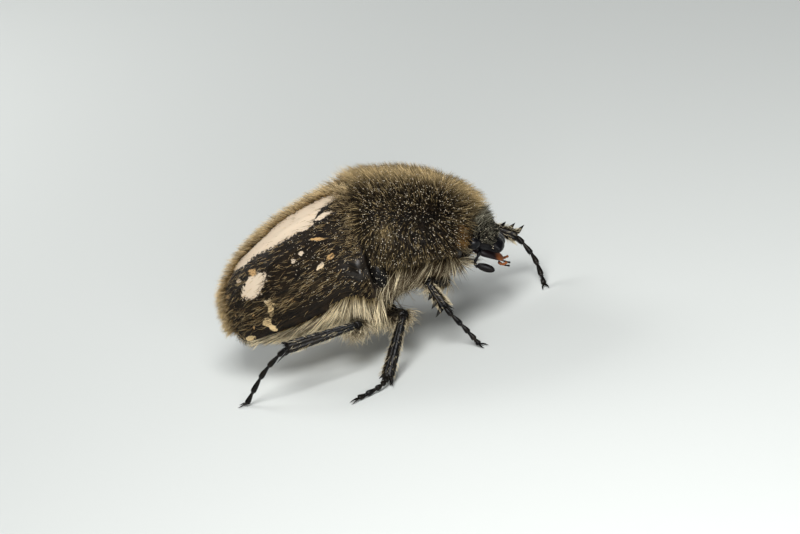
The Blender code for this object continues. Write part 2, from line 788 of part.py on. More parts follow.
def evenly_spread(skin, spacing, chance, tries=1500):
    """Points of a surface that keep the spacing from each other, with the way out of the surface at each."""
    found = []
    step = 1e-3
    for _ in range(tries):
        u, v = chance.uniform(step, 1.0 - step), chance.uniform(step, 1.0 - step)
        here = skin(u, v)
        if any(np.linalg.norm(here - other) < spacing for other, _ in found):
            continue
        out = np.cross(skin(u + step, v) - skin(u - step, v), skin(u, v + step) - skin(u, v - step))
        found.append((here, out / np.linalg.norm(out)))
    return found


def near_a_leg(points, own):
    """Whether a point comes close to the axis of a femur or tibia, but for the femur that it grows on."""
    for leg in LEGS.values():
        for first, second in (("coxa", "knee"), ("knee", "ankle")):
            if leg is own and first == "coxa":
                continue
            start = np.array(leg[first])
            way = np.array(leg[second]) - start
            share = np.clip((points - start) @ way / (way @ way), 0.0, 1.0)
            if np.linalg.norm(points - start - share[:, None] * way, axis=1).min() < LEG_CLEARANCE:
                return True
    return False


def coat(place, skin, middle, seed, own=None):
    """Locks over a surface, varied in length, width and lie, shorter or left out where a leg passes."""
    style = COATS[place]
    chance = random.Random(seed)
    locks = []
    for root, out in evenly_spread(skin, style["spacing"], chance):
        if np.dot(out, root - np.asarray(middle)) < 0:
            out = -out
        lie = np.array([part + chance.uniform(-LIE_SPREAD, LIE_SPREAD) for part in style["lie"]])
        along = lie - out * np.dot(lie, out)
        along /= np.linalg.norm(along)
        length = style["length"] * chance.uniform(0.85, 1.1)
        width = style["width"] * chance.uniform(0.85, 1.15)
        for shorter in (1.0, 0.7, 0.45):
            size = (length * shorter, width * shorter**0.5)
            spine, mesh = lock(root, out, along, *size, style["lift"], style["bend"])
            if not near_a_leg(spine[1:], own):
                locks.append(mesh)
                break
    return locks


def mane_skin(u, v):
    """Whole top and sides of the pronotum."""
    return pronotum_skin(0.02 + 0.97 * u, math.radians(-88.0 + 176.0 * v))


def thorax_point(x, turn):
    """Point of the trunk between the prothorax and the abdomen."""
    middle = elytron_edge_height(x) - TRUNK_INSET
    return trunk_point(x, turn, THORAX_HALF_WIDTH, middle, under_wing_top(x), BELLY_Z)


def thorax_skin(u, v):
    """Sides and underside of the thorax, short of its ends."""
    x = THORAX_REAR_X + 0.3 + (THORAX_FRONT_X - THORAX_REAR_X - 0.8) * u
    return thorax_point(x, math.radians(97.0 + 166.0 * v))


def abdomen_point(x, turn, groove=0.0):
    """Point of the abdomen, which follows the wing cases above it."""
    back = (ABDOMEN_FRONT_X - x) / (ABDOMEN_FRONT_X - ABDOMEN_REAR_X)
    half_width = elytron_width(x) - ELYTRON_WALL - GAP - TRUNK_INSET
    middle = elytron_edge_height(x) - TRUNK_INSET
    bottom = BELLY_Z + ABDOMEN_REAR_RISE * back**3 - groove
    return trunk_point(x, turn, half_width, middle, under_wing_top(x), bottom)


def abdomen_skin(u, v):
    """Underside of the abdomen, short of its ends."""
    x = ABDOMEN_REAR_X + 0.6 + (ABDOMEN_FRONT_X - ABDOMEN_REAR_X - 0.9) * u
    return abdomen_point(x, math.radians(128.0 + 104.0 * v))


def prosternum_point(x, turn):
    """Point of the prothorax below the edge of the pronotum."""
    along = (x - PROSTERNUM_REAR_X) / (PROSTERNUM_FRONT_X - PROSTERNUM_REAR_X)
    half_width = PROSTERNUM_HALF_WIDTH - PROSTERNUM_NARROWING * along**2
    top = PRONOTUM_EDGE_Z - PRONOTUM_EDGE_FALL * along - PRONOTUM_LIP - GAP
    bottom = PROSTERNUM_Z + PROSTERNUM_RISE * along
    return trunk_point(x, turn, half_width, top - PROSTERNUM_FLANK, top, bottom)


def prosternum_skin(u, v):
    """Sides and underside of the prothorax, short of its ends."""
    x = PROSTERNUM_REAR_X + 0.75 + (PROSTERNUM_FRONT_X - PROSTERNUM_REAR_X - 1.05) * u
    return prosternum_point(x, math.radians(100.0 + 160.0 * v))


def head_skin(u, v):
    """Front of the head above the clypeus."""
    return head_point(0.06 + 0.5 * u, math.radians(-55.0 + 110.0 * v))


femora = []
for seed, (leg_name, leg) in enumerate(LEGS.items()):
    row = leg_name.split("_")[0]
    middle = (np.array(leg["coxa"]) + np.array(leg["knee"])) / 2
    hanging = coat("femur", femur_skin(leg), middle, 71 + seed, leg)
    femora.append(join("femur_" + leg_name, [femur_mesh(leg)] + hanging, black))
    join("tibia_" + leg_name, tibia_pieces("tibia", leg, row), black)
    flatten_foot(join("tarsus_" + leg_name, tarsus_pieces("tarsus", leg), black))

join("pronotum", [pronotum_mesh()] + coat("pronotum", mane_skin, (9.0, 0.0, 4.0), 11), dark_coat)
clear_legs(join("thorax", [thorax_mesh()] + coat("thorax", thorax_skin, (5.7, 0.0, 4.0), 31), straw_coat))
clear_legs(join("abdomen", [abdomen_mesh()] + coat("abdomen", abdomen_skin, (2.7, 0.0, 4.0), 41), black))
below = [prosternum_mesh()] + coat("prosternum", prosternum_skin, (8.7, 0.0, 4.0), 53)
clear_legs(join("prosternum", below, straw_coat))
join("pygidium", [ball("pygidium", PYGIDIUM_CENTRE, PYGIDIUM_RADII, 14, 8)], black)
join("scutellum", [scutellum_mesh()], black)

head = join("head", [head_mesh()] + coat("head", head_skin, (11.3, 0.0, 3.2), 61), black)
join("mouthparts", [sweep("mouthparts", MOUTH_PATH, MOUTH_HALF_WIDTHS, MOUTH_HALF_DEPTHS, 10)], mouth_look)
seats = []
for side_name, side in (("left", 1.0), ("right", -1.0)):

    def wing_skin(u, v, side=side):
        """Wing case of this side, short of its edges."""
        return elytron_skin(0.12 + 0.86 * u, 0.06 + 0.86 * v) * np.array([1.0, side, 1.0])

    fringe = coat("elytron", wing_skin, (3.5, side, 3.0), 23)
    join("elytron_" + side_name, [elytron_mesh("elytron", side)] + fringe, black)
    centre = (EYE_CENTRE[0], EYE_CENTRE[1] * side, EYE_CENTRE[2])
    seat = EYE_RADIUS + EYE_SEAT_GAP
    seats.append(ball("seat", centre, (seat, seat, seat), 12, 8))
    join("eye_" + side_name, [ball("eye", centre, (EYE_RADIUS, EYE_RADIUS, EYE_RADIUS), 12, 8)], eye_look)
    join("feeler_" + side_name, feeler_pieces("feeler", side), black)
cut(head, seats)

corners = np.array([tuple(corner.co) for node in beetle.objects for corner in node.data.vertices])
low, high = corners.min(axis=0), corners.max(axis=0)
centring = Matrix.Translation((-(low[0] + high[0]) / 2, -(low[1] + high[1]) / 2, -low[2]))
for node in beetle.objects:
    node.data.transform(Matrix.Scale(MM, 4) @ centring)
    node.data.shade_smooth()
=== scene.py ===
"""Hairy rose beetle, life size, standing on a pale floor.

The beetle's own sizes are in millimetres, with x = 0 near its rear tip, +X towards the head and +Y
towards its left side. Plates are grids bent over named widths and heights, legs and feelers are tubes
swept through their joints, and the coat is tapering three-sided hairs rooted on those surfaces.
"""
import math

import bpy
import numpy as np
from mathutils import Matrix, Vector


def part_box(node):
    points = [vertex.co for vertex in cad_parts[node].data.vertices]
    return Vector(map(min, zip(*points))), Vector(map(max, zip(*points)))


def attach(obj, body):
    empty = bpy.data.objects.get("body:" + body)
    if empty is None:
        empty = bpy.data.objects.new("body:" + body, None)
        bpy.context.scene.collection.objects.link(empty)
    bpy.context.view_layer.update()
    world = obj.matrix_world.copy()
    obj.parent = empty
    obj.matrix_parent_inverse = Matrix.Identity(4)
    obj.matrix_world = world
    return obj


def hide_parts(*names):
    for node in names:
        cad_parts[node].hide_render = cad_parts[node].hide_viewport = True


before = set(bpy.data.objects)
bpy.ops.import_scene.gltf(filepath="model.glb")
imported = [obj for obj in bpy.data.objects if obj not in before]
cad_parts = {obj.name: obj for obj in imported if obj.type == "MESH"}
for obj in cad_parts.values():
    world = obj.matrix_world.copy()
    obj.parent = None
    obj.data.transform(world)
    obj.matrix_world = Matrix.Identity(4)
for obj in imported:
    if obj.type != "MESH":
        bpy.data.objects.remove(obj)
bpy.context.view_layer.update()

# Stage
# A plain matt floor that runs out of view, under three broad lights: one above, a low one on the camera's
# side and one from behind. The camera looks down on the beetle's right side, turned until its back slopes.
MM = 0.001
EYE_CENTRE = np.array([11.0, 0.98, 3.57])
CAMERA_AZIMUTH = math.radians(12.0)
CAMERA_ELEVATION = math.radians(22.0)
CAMERA_ROLL = math.radians(18.5)
CAMERA_DISTANCE = 300.0
PIXELS_PER_MM = 23.5
PICTURE_SIZE = (800, 534)
CLYPEUS_PIXEL = (506.0, 253.0)
CLYPEUS_POINT = np.array([12.0, 0.0, 2.3])
SENSOR_WIDTH = 36.0
FLOOR_HALF_WIDTH = 600.0
FLOOR_COLOUR = (0.6, 0.62, 0.6, 1.0)
SKY_COLOUR = (0.9, 0.95, 1.0, 1.0)
SKY_STRENGTH = 0.14
BODY_MIDDLE = (6.0, 0.0, 3.0)
MIRROR = (1.0, -1.0, 1.0)
LIGHTS = {
    "key": {"place": (14.0, -34.0, 68.0), "width": 40.0, "watts": 0.055},
    "fill": {"place": (25.0, -78.0, 14.0), "width": 45.0, "watts": 0.06},
    "rim": {"place": (-45.0, 50.0, 45.0), "width": 30.0, "watts": 0.032},
}

eye_low, eye_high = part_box("eye_right")
ORIGIN = np.array((eye_low + eye_high) / 2) - MM * EYE_CENTRE * MIRROR
FLOOR_Z = -ORIGIN[2] / MM


def metres(points):
    """Millimetre points of the beetle's own frame, in the metres of the shared frame."""
    return ORIGIN + MM * np.asarray(points, float)


def looking(place, target, upward=(0.0, 0.0, 1.0)):
    """Matrix of a light or camera at a place, its -Z axis on the target and its top towards upward."""
    back = np.subtract(place, target) / np.linalg.norm(np.subtract(place, target))
    aside = np.cross(upward, back)
    aside /= np.linalg.norm(aside)
    matrix = np.identity(4)
    matrix[:3, :3] = np.stack([aside, np.cross(back, aside), back], axis=1)
    matrix[:3, 3] = place
    return Matrix(matrix.tolist())


level = np.array([math.cos(CAMERA_AZIMUTH), math.sin(CAMERA_AZIMUTH), 0.0])
upright = np.array([
    -math.sin(CAMERA_AZIMUTH) * math.sin(CAMERA_ELEVATION),
    math.cos(CAMERA_AZIMUTH) * math.sin(CAMERA_ELEVATION),
    math.cos(CAMERA_ELEVATION),
])
picture_right = math.cos(CAMERA_ROLL) * level - math.sin(CAMERA_ROLL) * upright
picture_up = math.sin(CAMERA_ROLL) * level + math.cos(CAMERA_ROLL) * upright
towards_camera = np.cross(picture_right, picture_up)
middle = CLYPEUS_POINT + picture_right * (PICTURE_SIZE[0] / 2 - CLYPEUS_PIXEL[0]) / PIXELS_PER_MM
middle = middle + picture_up * (CLYPEUS_PIXEL[1] - PICTURE_SIZE[1] / 2) / PIXELS_PER_MM

camera_data = bpy.data.cameras.new("camera")
camera_data.sensor_width = SENSOR_WIDTH
camera_data.lens = SENSOR_WIDTH * CAMERA_DISTANCE * PIXELS_PER_MM / PICTURE_SIZE[0]
camera_data.clip_start = 0.02
camera_data.clip_end = 10.0
camera = bpy.data.objects.new("camera", camera_data)
bpy.context.scene.collection.objects.link(camera)
camera.matrix_world = looking(metres(middle + CAMERA_DISTANCE * towards_camera), metres(middle), picture_up)
bpy.context.scene.camera = camera

for light_name, light in LIGHTS.items():
    lamp = bpy.data.lights.new(light_name, "AREA")
    lamp.size = light["width"] * MM
    lamp.energy = light["watts"]
    holder = bpy.data.objects.new(light_name, lamp)
    bpy.context.scene.collection.objects.link(holder)
    holder.matrix_world = looking(metres(light["place"]), metres(BODY_MIDDLE))

bpy.context.scene.view_settings.view_transform = "Standard"
world = bpy.data.worlds.new("sky")
bpy.context.scene.world = world
world.use_nodes = True
world.node_tree.nodes["Background"].inputs["Color"].default_value = SKY_COLOUR
world.node_tree.nodes["Background"].inputs["Strength"].default_value = SKY_STRENGTH


class Value:
    """A shader socket in a Python expression: each operator adds the Math node that it stands for."""

    def __init__(self, look, socket):
        self.look = look
        self.socket = socket

    def math(self, operation, *others):
        """The operation on this value and the others."""
        return self.look.node("ShaderNodeMath", {"operation": operation}, dict(enumerate((self, *others))))

    def __add__(self, other):
        return self.math("ADD", other)

    def __mul__(self, other):
        return self.math("MULTIPLY", other)

    def __sub__(self, other):
        return self.math("SUBTRACT", other)

    def __rsub__(self, other):
        return self * -1.0 + other

    def step(self, low, high):
        """0 below low, 1 above high, and a smooth rise between them."""
        settings = {"interpolation_type": "SMOOTHSTEP"}
        return self.look.node("ShaderNodeMapRange", settings, {0: self, 1: low, 2: high})


class Look:
    """A Principled material: what is the same all over is set on its own sockets, and the rest is linked."""

    def __init__(self, name, **constants):
        self.material = bpy.data.materials.new(name)
        self.material.use_nodes = True
        self.tree = self.material.node_tree
        self.surface = self.tree.nodes["Principled BSDF"]
        for label, value in constants.items():
            self.feed(label.replace("_", " "), value)

    def feed(self, label, value):
        """Sets or links one of the material's own sockets."""
        self.put(self.surface.inputs[label], value)

    def put(self, socket, value):
        if isinstance(value, Value):
            self.tree.links.new(value.socket, socket)
        else:
            socket.default_value = value

    def node(self, kind, settings, inputs, output=0):
        """Any node, from its type, its settings and what its sockets hold."""
        made = self.tree.nodes.new(kind)
        for name, value in settings.items():
            setattr(made, name, value)
        for key, value in inputs.items():
            self.put(made.inputs[key], value)
        return Value(self, made.outputs[output])

    def place(self):
        """Where a point lies on the model."""
        return self.node("ShaderNodeTexCoord", {}, {}, "Object")

    def attribute(self, name):
        """A number that the mesh holds at each point."""
        return self.node("ShaderNodeAttribute", {"attribute_name": name}, {}, "Fac")

    def noise(self, size, detail=3.0):
        """Cloudy noise from 0 to 1, its lumps about so many millimetres across."""
        inputs = {"Vector": self.place(), "Scale": 1.0 / (size * MM), "Detail": detail}
        return self.node("ShaderNodeTexNoise", {}, inputs, "Fac")

    def pits(self, size):
        """Distance from the nearest of many points strewn about so many millimetres apart."""
        inputs = {"Vector": self.place(), "Scale": 1.0 / (size * MM)}
        return self.node("ShaderNodeTexVoronoi", {}, inputs, "Distance")

    def mix(self, share, first, second):
        """Colour between two others."""
        return self.node("ShaderNodeMix", {"data_type": "RGBA"}, {0: share, 6: first, 7: second}, 2)

    def bump(self, height, depth):
        """Relief of the surface: a height of 0 to 1 stands for so many millimetres."""
        inputs = {"Height": height, "Distance": depth * MM, "Strength": 1.0}
        self.feed("Normal", self.node("ShaderNodeBump", {}, inputs, "Normal"))


def piece(name, points, faces, look, attributes=None):
    """Object of millimetre points and blocks of faces, each block with one number of corners."""
    mesh = bpy.data.meshes.new(name)
    mesh.vertices.add(len(points))
    mesh.vertices.foreach_set("co", metres(points).astype(np.float32).ravel())
    corners = np.concatenate([block.ravel() for block in faces])
    sizes = np.concatenate([np.full(len(block), block.shape[1]) for block in faces])
    mesh.loops.add(len(corners))
    mesh.loops.foreach_set("vertex_index", corners.astype(np.int32))
    mesh.polygons.add(len(sizes))
    mesh.polygons.foreach_set("loop_start", (np.cumsum(sizes) - sizes).astype(np.int32))
    mesh.update(calc_edges=True)
    mesh.validate()
    mesh.shade_smooth()
    for label, values in (attributes or {}).items():
        held = mesh.attributes.new(label, "FLOAT", "POINT")
        held.data.foreach_set("value", np.asarray(values, np.float32).ravel())
    mesh.materials.append(look.material)
    made = bpy.data.objects.new(name, mesh)
    bpy.context.scene.collection.objects.link(made)
    return made


floor_look = Look("floor", Base_Color=FLOOR_COLOUR, Roughness=0.9)
floor_corners = FLOOR_HALF_WIDTH * np.array([(-1, -1, 0), (1, -1, 0), (1, 1, 0), (-1, 1, 0)])
floor_corners[:, 2] = FLOOR_Z
floor = piece("floor", floor_corners, [np.array([[0, 1, 2, 3]])], floor_look)

# Wing cases
# Two hard black covers, each with three low ribs, a raised rim along the seam and a knob at the shoulder,
# painted by scale dust with a long cream band and a scatter of spots. Each is one bent grid with a wall.
GAP = 0.2
SUTURE_FRONT_X = 6.72
SUTURE_REACH = 7.08
SUTURE_REAR_Z = 2.6
SUTURE_RISE = 4.42
SUTURE_CREST_X = 6.3
SUTURE_CREST_REACH = 6.75
SUTURE_POWER = 1.5
SHOULDER_X = 6.74
SHOULDER_Y = 2.95
ELYTRON_EDGE_REACH = 7.05
ELYTRON_HALF_WIDTH = 3.15
ELYTRON_WIDEST_X = 4.9
ELYTRON_REAR_REACH = 5.3
ELYTRON_REAR_POWER = 2.6
ELYTRON_EDGE_Z = 1.85
ELYTRON_EDGE_SLOPE = 0.32
ELYTRON_SQUARENESS = 2.35
ELYTRON_WALL = 0.12
ELYTRON_REAR_SHARE = 0.95
SHOULDER_LOBE = 0.75
SHOULDER_LOBE_X = 6.5
SHOULDER_LOBE_REACH = 0.6
APEX_LIFT = 0.45
APEX_X = -0.1
APEX_REACH = 0.35
CALLUS_HEIGHT = 0.29
CALLUS_X = 6.42
CALLUS_REACH = 0.32
CALLUS_TURN = 1.32
CALLUS_SPREAD = 0.13
SCUTELLUM_TIP_X = 5.55
SCUTELLUM_HALF_WIDTH = 0.72
RIBS = (0.2, 0.47, 0.74)
RIB_HEIGHT = 0.035
RIB_WIDTH = 0.035
RIM_HEIGHT = 0.05
RIM_WIDTH = 0.018
WING_LENGTH = 7.08
WING_GIRTH = 4.4
WING_MIDDLE = np.array([3.5, 1.0, 3.0])
SIDES = {"left": 1.0, "right": -1.0}
BLACK_HORN = (0.003, 0.0025, 0.002, 1.0)
BROWN_HORN = (0.02, 0.013, 0.007, 1.0)
CREAM = (0.62, 0.49, 0.36, 1.0)
GREYISH_CREAM = (0.53, 0.45, 0.34, 1.0)
REAR_CREAM = (0.53, 0.4, 0.24, 1.0)
EDGE_CREAM = (0.62, 0.46, 0.24, 1.0)
ORANGE = (0.5, 0.31, 0.13, 1.0)


def arc(angle, across, rise, squareness):
    """Squared-off arc: the side is across times sin, and the height is rise times cos, each of these to
    the power 2 / squareness."""
    power = 2.0 / squareness
    side = across * np.sign(np.sin(angle)) * np.abs(np.sin(angle)) ** power
    return side, rise * np.abs(np.cos(angle)) ** power


def limited(share):
    """A share held between 0 and 1."""
    return np.clip(share, 0.0, 1.0)


def near(value, middle, spread):
    """Bell curve: 1 at the middle, fading over the spread."""
    return np.exp(-(((value - middle) / spread) ** 2))


def suture_height(x):
    """Height of the seam: a superellipse that falls from its crest to the rear."""
    behind = limited((SUTURE_CREST_X - x) / SUTURE_CREST_REACH)
    return SUTURE_REAR_Z + SUTURE_RISE * np.sqrt(1.0 - behind**SUTURE_POWER)


def elytron_width(x):
    """Half width of both wing cases: a superellipse behind the widest place, drawn in at the shoulder."""
    behind = limited((ELYTRON_WIDEST_X - x) / ELYTRON_REAR_REACH)
    shoulder = limited((x - ELYTRON_WIDEST_X) / (SHOULDER_X - ELYTRON_WIDEST_X))
    narrowing = (ELYTRON_HALF_WIDTH - SHOULDER_Y) * shoulder**4
    return ELYTRON_HALF_WIDTH * np.sqrt(1.0 - behind**ELYTRON_REAR_POWER) - narrowing


def elytron_edge_height(x):
    """Height of the side edge: a slope with a lobe below the shoulder and a lift at the tip."""
    lobe = SHOULDER_LOBE * near(x, SHOULDER_LOBE_X, SHOULDER_LOBE_REACH)
    lift = APEX_LIFT * near(x, APEX_X, APEX_REACH)
    return ELYTRON_EDGE_Z + ELYTRON_EDGE_SLOPE * x - lobe + lift


def elytron_skin(along, angle, inset=0.0):
    """Left wing case: along is 0 in front and 1 behind, the angle is 0 at the seam and 1 at the edge.
    Each cross-section is a squared-off arc between the seam's height and the side edge's."""
    bend = np.sin(along * ELYTRON_REAR_SHARE * math.pi / 2)
    top_x = SUTURE_FRONT_X - SUTURE_REACH * bend
    edge_x = SHOULDER_X - ELYTRON_EDGE_REACH * bend
    half_width = np.maximum(elytron_width(edge_x) - inset, 0.05)
    edge_z = elytron_edge_height(edge_x)
    rise = np.maximum(suture_height(top_x) - inset - edge_z, 0.05)
    beside = limited((top_x - SCUTELLUM_TIP_X) / (SUTURE_FRONT_X - SCUTELLUM_TIP_X))
    suture_y = 0.01 + (SCUTELLUM_HALF_WIDTH + 0.02) * beside
    first = np.arcsin(np.clip(suture_y / half_width, 0.0, 0.9) ** (ELYTRON_SQUARENESS / 2))
    turned = first + (math.pi / 2 - first) * angle
    callus = near(edge_x, CALLUS_X, CALLUS_REACH) * near(turned, CALLUS_TURN, CALLUS_SPREAD)
    y, z = arc(turned, half_width + CALLUS_HEIGHT * callus, rise, ELYTRON_SQUARENESS)
    x = top_x + inset * bend + (edge_x - top_x) * (turned / (math.pi / 2)) ** 2
    return np.stack([x, y, edge_z + z], axis=-1)


def grid(rows, columns):
    """Two parameters from 0 to 1 over a grid of points."""
    return np.meshgrid(np.linspace(0.0, 1.0, rows), np.linspace(0.0, 1.0, columns), indexing="ij")


def grid_faces(rows, columns, closed=False):
    """Quads between the points of a grid, wrapped round its columns where it is closed."""
    last = columns if closed else columns - 1
    row, column = np.meshgrid(np.arange(rows - 1), np.arange(last), indexing="ij")
    here, after = row * columns + column, row * columns + (column + 1) % columns
    return np.stack([here, after, after + columns, here + columns], axis=-1).reshape(-1, 4)


def outward(points, faces):
    """The same body with its faces turned out, told by the sign of its volume."""
    triangles = np.concatenate([
        block[:, (0, k, k + 1)] for block in faces for k in range(1, block.shape[1] - 1)
    ])
    volume = np.linalg.det(points[triangles] - points.mean(axis=0)).sum()
    return points, faces if volume > 0 else [block[:, ::-1] for block in faces]


def wall(outer, inner):
    """Closed wall between two like grids: both skins, and a strip round the four rims."""
    rows, columns = outer.shape[:2]
    under = rows * columns
    quads = grid_faces(rows, columns)
    rim = np.concatenate([
        np.arange(columns),
        np.arange(1, rows) * columns + columns - 1,
        (rows - 1) * columns + np.arange(columns - 2, -1, -1),
        np.arange(rows - 2, 0, -1) * columns,
    ])
    beyond = np.roll(rim, -1)
    strip = np.stack([beyond, rim, rim + under, beyond + under], axis=-1)
    points = np.concatenate([outer.reshape(-1, 3), inner.reshape(-1, 3)])
    return outward(points, [quads, quads[:, ::-1] + under, strip])


def normals(skin, u, v, inside):
    """Way out of a skin, from its slopes in both parameters, pointing away from the inside."""
    step = 1e-3
    out = np.cross(skin(u + step, v) - skin(u - step, v), skin(u, v + step) - skin(u, v - step))
    out /= np.linalg.norm(out, axis=-1, keepdims=True) + 1e-12
    away = np.sum(out * (skin(u, v) - inside), axis=-1, keepdims=True)
    return np.where(away < 0, -out, out)


# Each mark has its middle and half sizes in millimetres, along the wing case and round it, and its turn.
CREAM_MARKS = (
    (0.95, 1.24, 0.3, 0.15, 10.0),
    (3.9, 2.42, 0.7, 0.53, 5.0),
    (4.62, 1.54, 0.26, 0.11, 129.0),
    (3.37, 3.42, 0.21, 0.13, 138.0),
    (3.38, 3.71, 0.26, 0.13, 80.0),
    (3.71, 4.01, 0.22, 0.14, 0.0),
    (3.57, 4.23, 0.27, 0.1, 138.0),
    (4.89, 4.33, 0.4, 0.1, 0.0),
    (2.12, 2.5, 0.12, 0.08, 110.0),
    (1.82, 2.38, 0.11, 0.08, 110.0),
    (1.29, 3.23, 0.16, 0.09, 20.0),
)
ORANGE_MARKS = (
    (3.78, 1.8, 0.34, 0.15, 122.0),
    (1.23, 2.18, 0.27, 0.06, 148.0),
    (0.93, 3.08, 0.14, 0.11, 0.0),
    (5.87, 1.57, 0.5, 0.16, 131.0),
    (5.6, 0.35, 0.5, 0.3, 0.0),
    (5.35, 3.16, 0.07, 0.07, 0.0),
    (5.53, 3.56, 0.06, 0.06, 0.0),
    (4.22, 3.57, 0.08, 0.08, 0.0),
    (4.42, 4.01, 0.07, 0.07, 0.0),
)
MARK_POWER = 1.5
BAND_PLACES = (0.0, 0.045, 0.07, 0.11, 0.15, 0.19, 0.26, 0.33, 0.39, 0.46, 0.52, 0.58, 0.64, 0.7, 0.75)
BAND_EDGES = (-0.3, 0.0, 0.09, 0.17, 0.19, 0.34, 0.33, 0.31, 0.31, 0.27, 0.23, 0.25, 0.2, 0.08, -0.1)
SEAM_PLACES = (0.0, 0.38, 0.44, 0.56, 0.62, 0.75)
SEAM_EDGES = (0.03, 0.03, 0.06, 0.065, 0.035, 0.03)
BAND_SOFTNESS = 0.1


def marks(along, angle, spots):
    """Height of a field that is above 0 inside the marks: 1 less the distance from the middle of each
    turned lozenge with rounded sides, in its own half sizes, at whichever mark is nearest."""
    field = np.full(np.shape(along), -1.0)
    for length, girth, half_length, half_girth, turn in spots:
        far_along, far_round = along * WING_LENGTH - length, angle * WING_GIRTH - girth
        cosine, sine = math.cos(math.radians(turn)), math.sin(math.radians(turn))
        first = (far_along * cosine + far_round * sine) / half_length
        second = (far_round * cosine - far_along * sine) / half_girth
        distance = (np.abs(first) ** MARK_POWER + np.abs(second) ** MARK_POWER) ** (1.0 / MARK_POWER)
        field = np.maximum(field, 1.0 - distance)
    return field


def cream_field(along, angle):
    """Field of the cream marks: the spots, and a band along the seam as wide as its edge says."""
    inner = np.interp(along, SEAM_PLACES, SEAM_EDGES)
    band = np.minimum(np.interp(along, BAND_PLACES, BAND_EDGES) - angle, (angle - inner) * 2.0)
    return np.maximum(marks(along, angle, CREAM_MARKS), band / BAND_SOFTNESS)


def callus_field(along, angle):
    """Field of the shoulder knob: 1 on its top, fading to its foot."""
    return near(along, 0.03, 0.07) * near(angle, 0.81, 0.11)


def wing_relief(along, angle):
    """Ribs, each a bell-shaped ridge along the wing case, and a rim like them by the seam."""
    fade = limited(along / 0.15) * limited((1.0 - along) / 0.2)
    height = RIM_HEIGHT * near(angle, RIM_WIDTH, RIM_WIDTH)
    for rib in RIBS:
        height = height + RIB_HEIGHT * fade * near(angle, rib, RIB_WIDTH)
    return height


wing_look = Look("wing_case", Specular_IOR_Level=0.1, Coat_Roughness=0.12)
ragged = wing_look.noise(0.12, 4.0) * 1.5 - 0.75
cream_share = (wing_look.attribute("cream") + ragged).step(-0.1, 0.16)
orange_share = (wing_look.attribute("orange") + ragged).step(-0.15, 0.25)
stretched = {0: wing_look.attribute("along") * 9.0, 1: wing_look.attribute("angle") * 90.0}
streaks = wing_look.node("ShaderNodeCombineXYZ", {}, stretched)
grain = wing_look.node("ShaderNodeTexNoise", {}, {"Vector": streaks, "Scale": 1.0, "Detail": 4.0}, "Fac")
cream = wing_look.mix(wing_look.noise(0.35), CREAM, GREYISH_CREAM)
cream = wing_look.mix(wing_look.attribute("along").step(0.6, 0.74), cream, REAR_CREAM)
cream = wing_look.mix(wing_look.attribute("angle").step(0.7, 0.8), cream, EDGE_CREAM)
painted = wing_look.mix(cream_share, wing_look.mix(grain.step(0.35, 0.75), BLACK_HORN, BROWN_HORN), cream)
wing_look.feed("Base Color", wing_look.mix(orange_share * 0.95, painted, ORANGE))
knob = wing_look.attribute("callus")
polish = knob.step(0.3, 0.75)
wing_look.feed("Coat Weight", polish * 0.5)
wing_look.feed("Roughness", cream_share * 0.3 + grain * 0.2 + 0.42 - knob * 0.15)
punctures = wing_look.pits(0.11).step(0.1, 0.45)
relief = punctures * (1.0 - cream_share) + grain * 0.6 + cream_share * 0.5
wing_look.bump(relief * (1.0 - polish), 0.02)

for side_name, side in SIDES.items():
    along, angle = grid(150, 100)

    def wing(u, v, side=side):
        return elytron_skin(u, v) * (1.0, side, 1.0)

    out = normals(wing, along, angle, WING_MIDDLE * (1.0, side, 1.0))
    outer = wing(along, angle) + out * wing_relief(along, angle)[..., None]
    inner = elytron_skin(along, angle, ELYTRON_WALL) * (1.0, side, 1.0)
    fields = {
        "cream": cream_field(along, angle),
        "orange": marks(along, angle, ORANGE_MARKS),
        "along": along,
        "angle": angle,
        "callus": callus_field(along, angle),
    }
    both_skins = {label: np.concatenate([field.ravel(), field.ravel()]) for label, field in fields.items()}
    wing_case = piece("wing_case_" + side_name, *wall(outer, inner), wing_look, both_skins)
    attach(wing_case, "root")
    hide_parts("elytron_" + side_name)

# Coat of the wing cases
# Sparse fine hair that lies back along the wing cases, and a loose golden fringe along the seam and round
# the rear. A hair is a three-sided spike along a bent line, and hairs of one tuft lean to a common tip.
HAIR_STEPS = (0.0, 0.55)
LONG_HAIR_STEPS = (0.0, 0.4, 0.75)
HAIR_SIDES = np.arange(3) * 2.0 * math.pi / 3.0
ROOT_CELLS = 220
ROOT_DEPTH = 0.03
PATCH = 0.003
LOWEST_Z = FLOOR_Z + 0.03
DISC_HAIRS = 4600
FRINGE_HAIRS = 5200
GLINT_SWELL = 0.4


def roots_on(skin, count, chance, density=None):
    """Parameters of roots strewn evenly by area: cells of a fine grid are drawn with a chance in
    proportion to their area, times the density there, and a root lies at random in its cell."""
    u, v = grid(ROOT_CELLS + 1, ROOT_CELLS + 1)
    points = skin(u, v)
    sides = points[1:, :-1] - points[:-1, :-1], points[:-1, 1:] - points[:-1, :-1]
    weight = np.linalg.norm(np.cross(*sides), axis=-1)
    if density is not None:
        weight = weight * density(u[:-1, :-1], v[:-1, :-1])
    cell = chance.choice(weight.size, count, p=weight.ravel() / weight.sum())
    row, column = np.divmod(cell, ROOT_CELLS)
    return (row + chance.random(count)) / ROOT_CELLS, (column + chance.random(count)) / ROOT_CELLS


def unit(ways):
    """The same ways, each of length 1."""
    return ways / (np.linalg.norm(ways, axis=-1, keepdims=True) + 1e-12)


def at(value, u, v):
    """A value at the roots: a number or a way as it is, and a function of the parameters worked out."""
    found = np.asarray(value(u, v) if callable(value) else value, float)
    return found[..., None] if found.ndim and found.shape == np.shape(u) else found


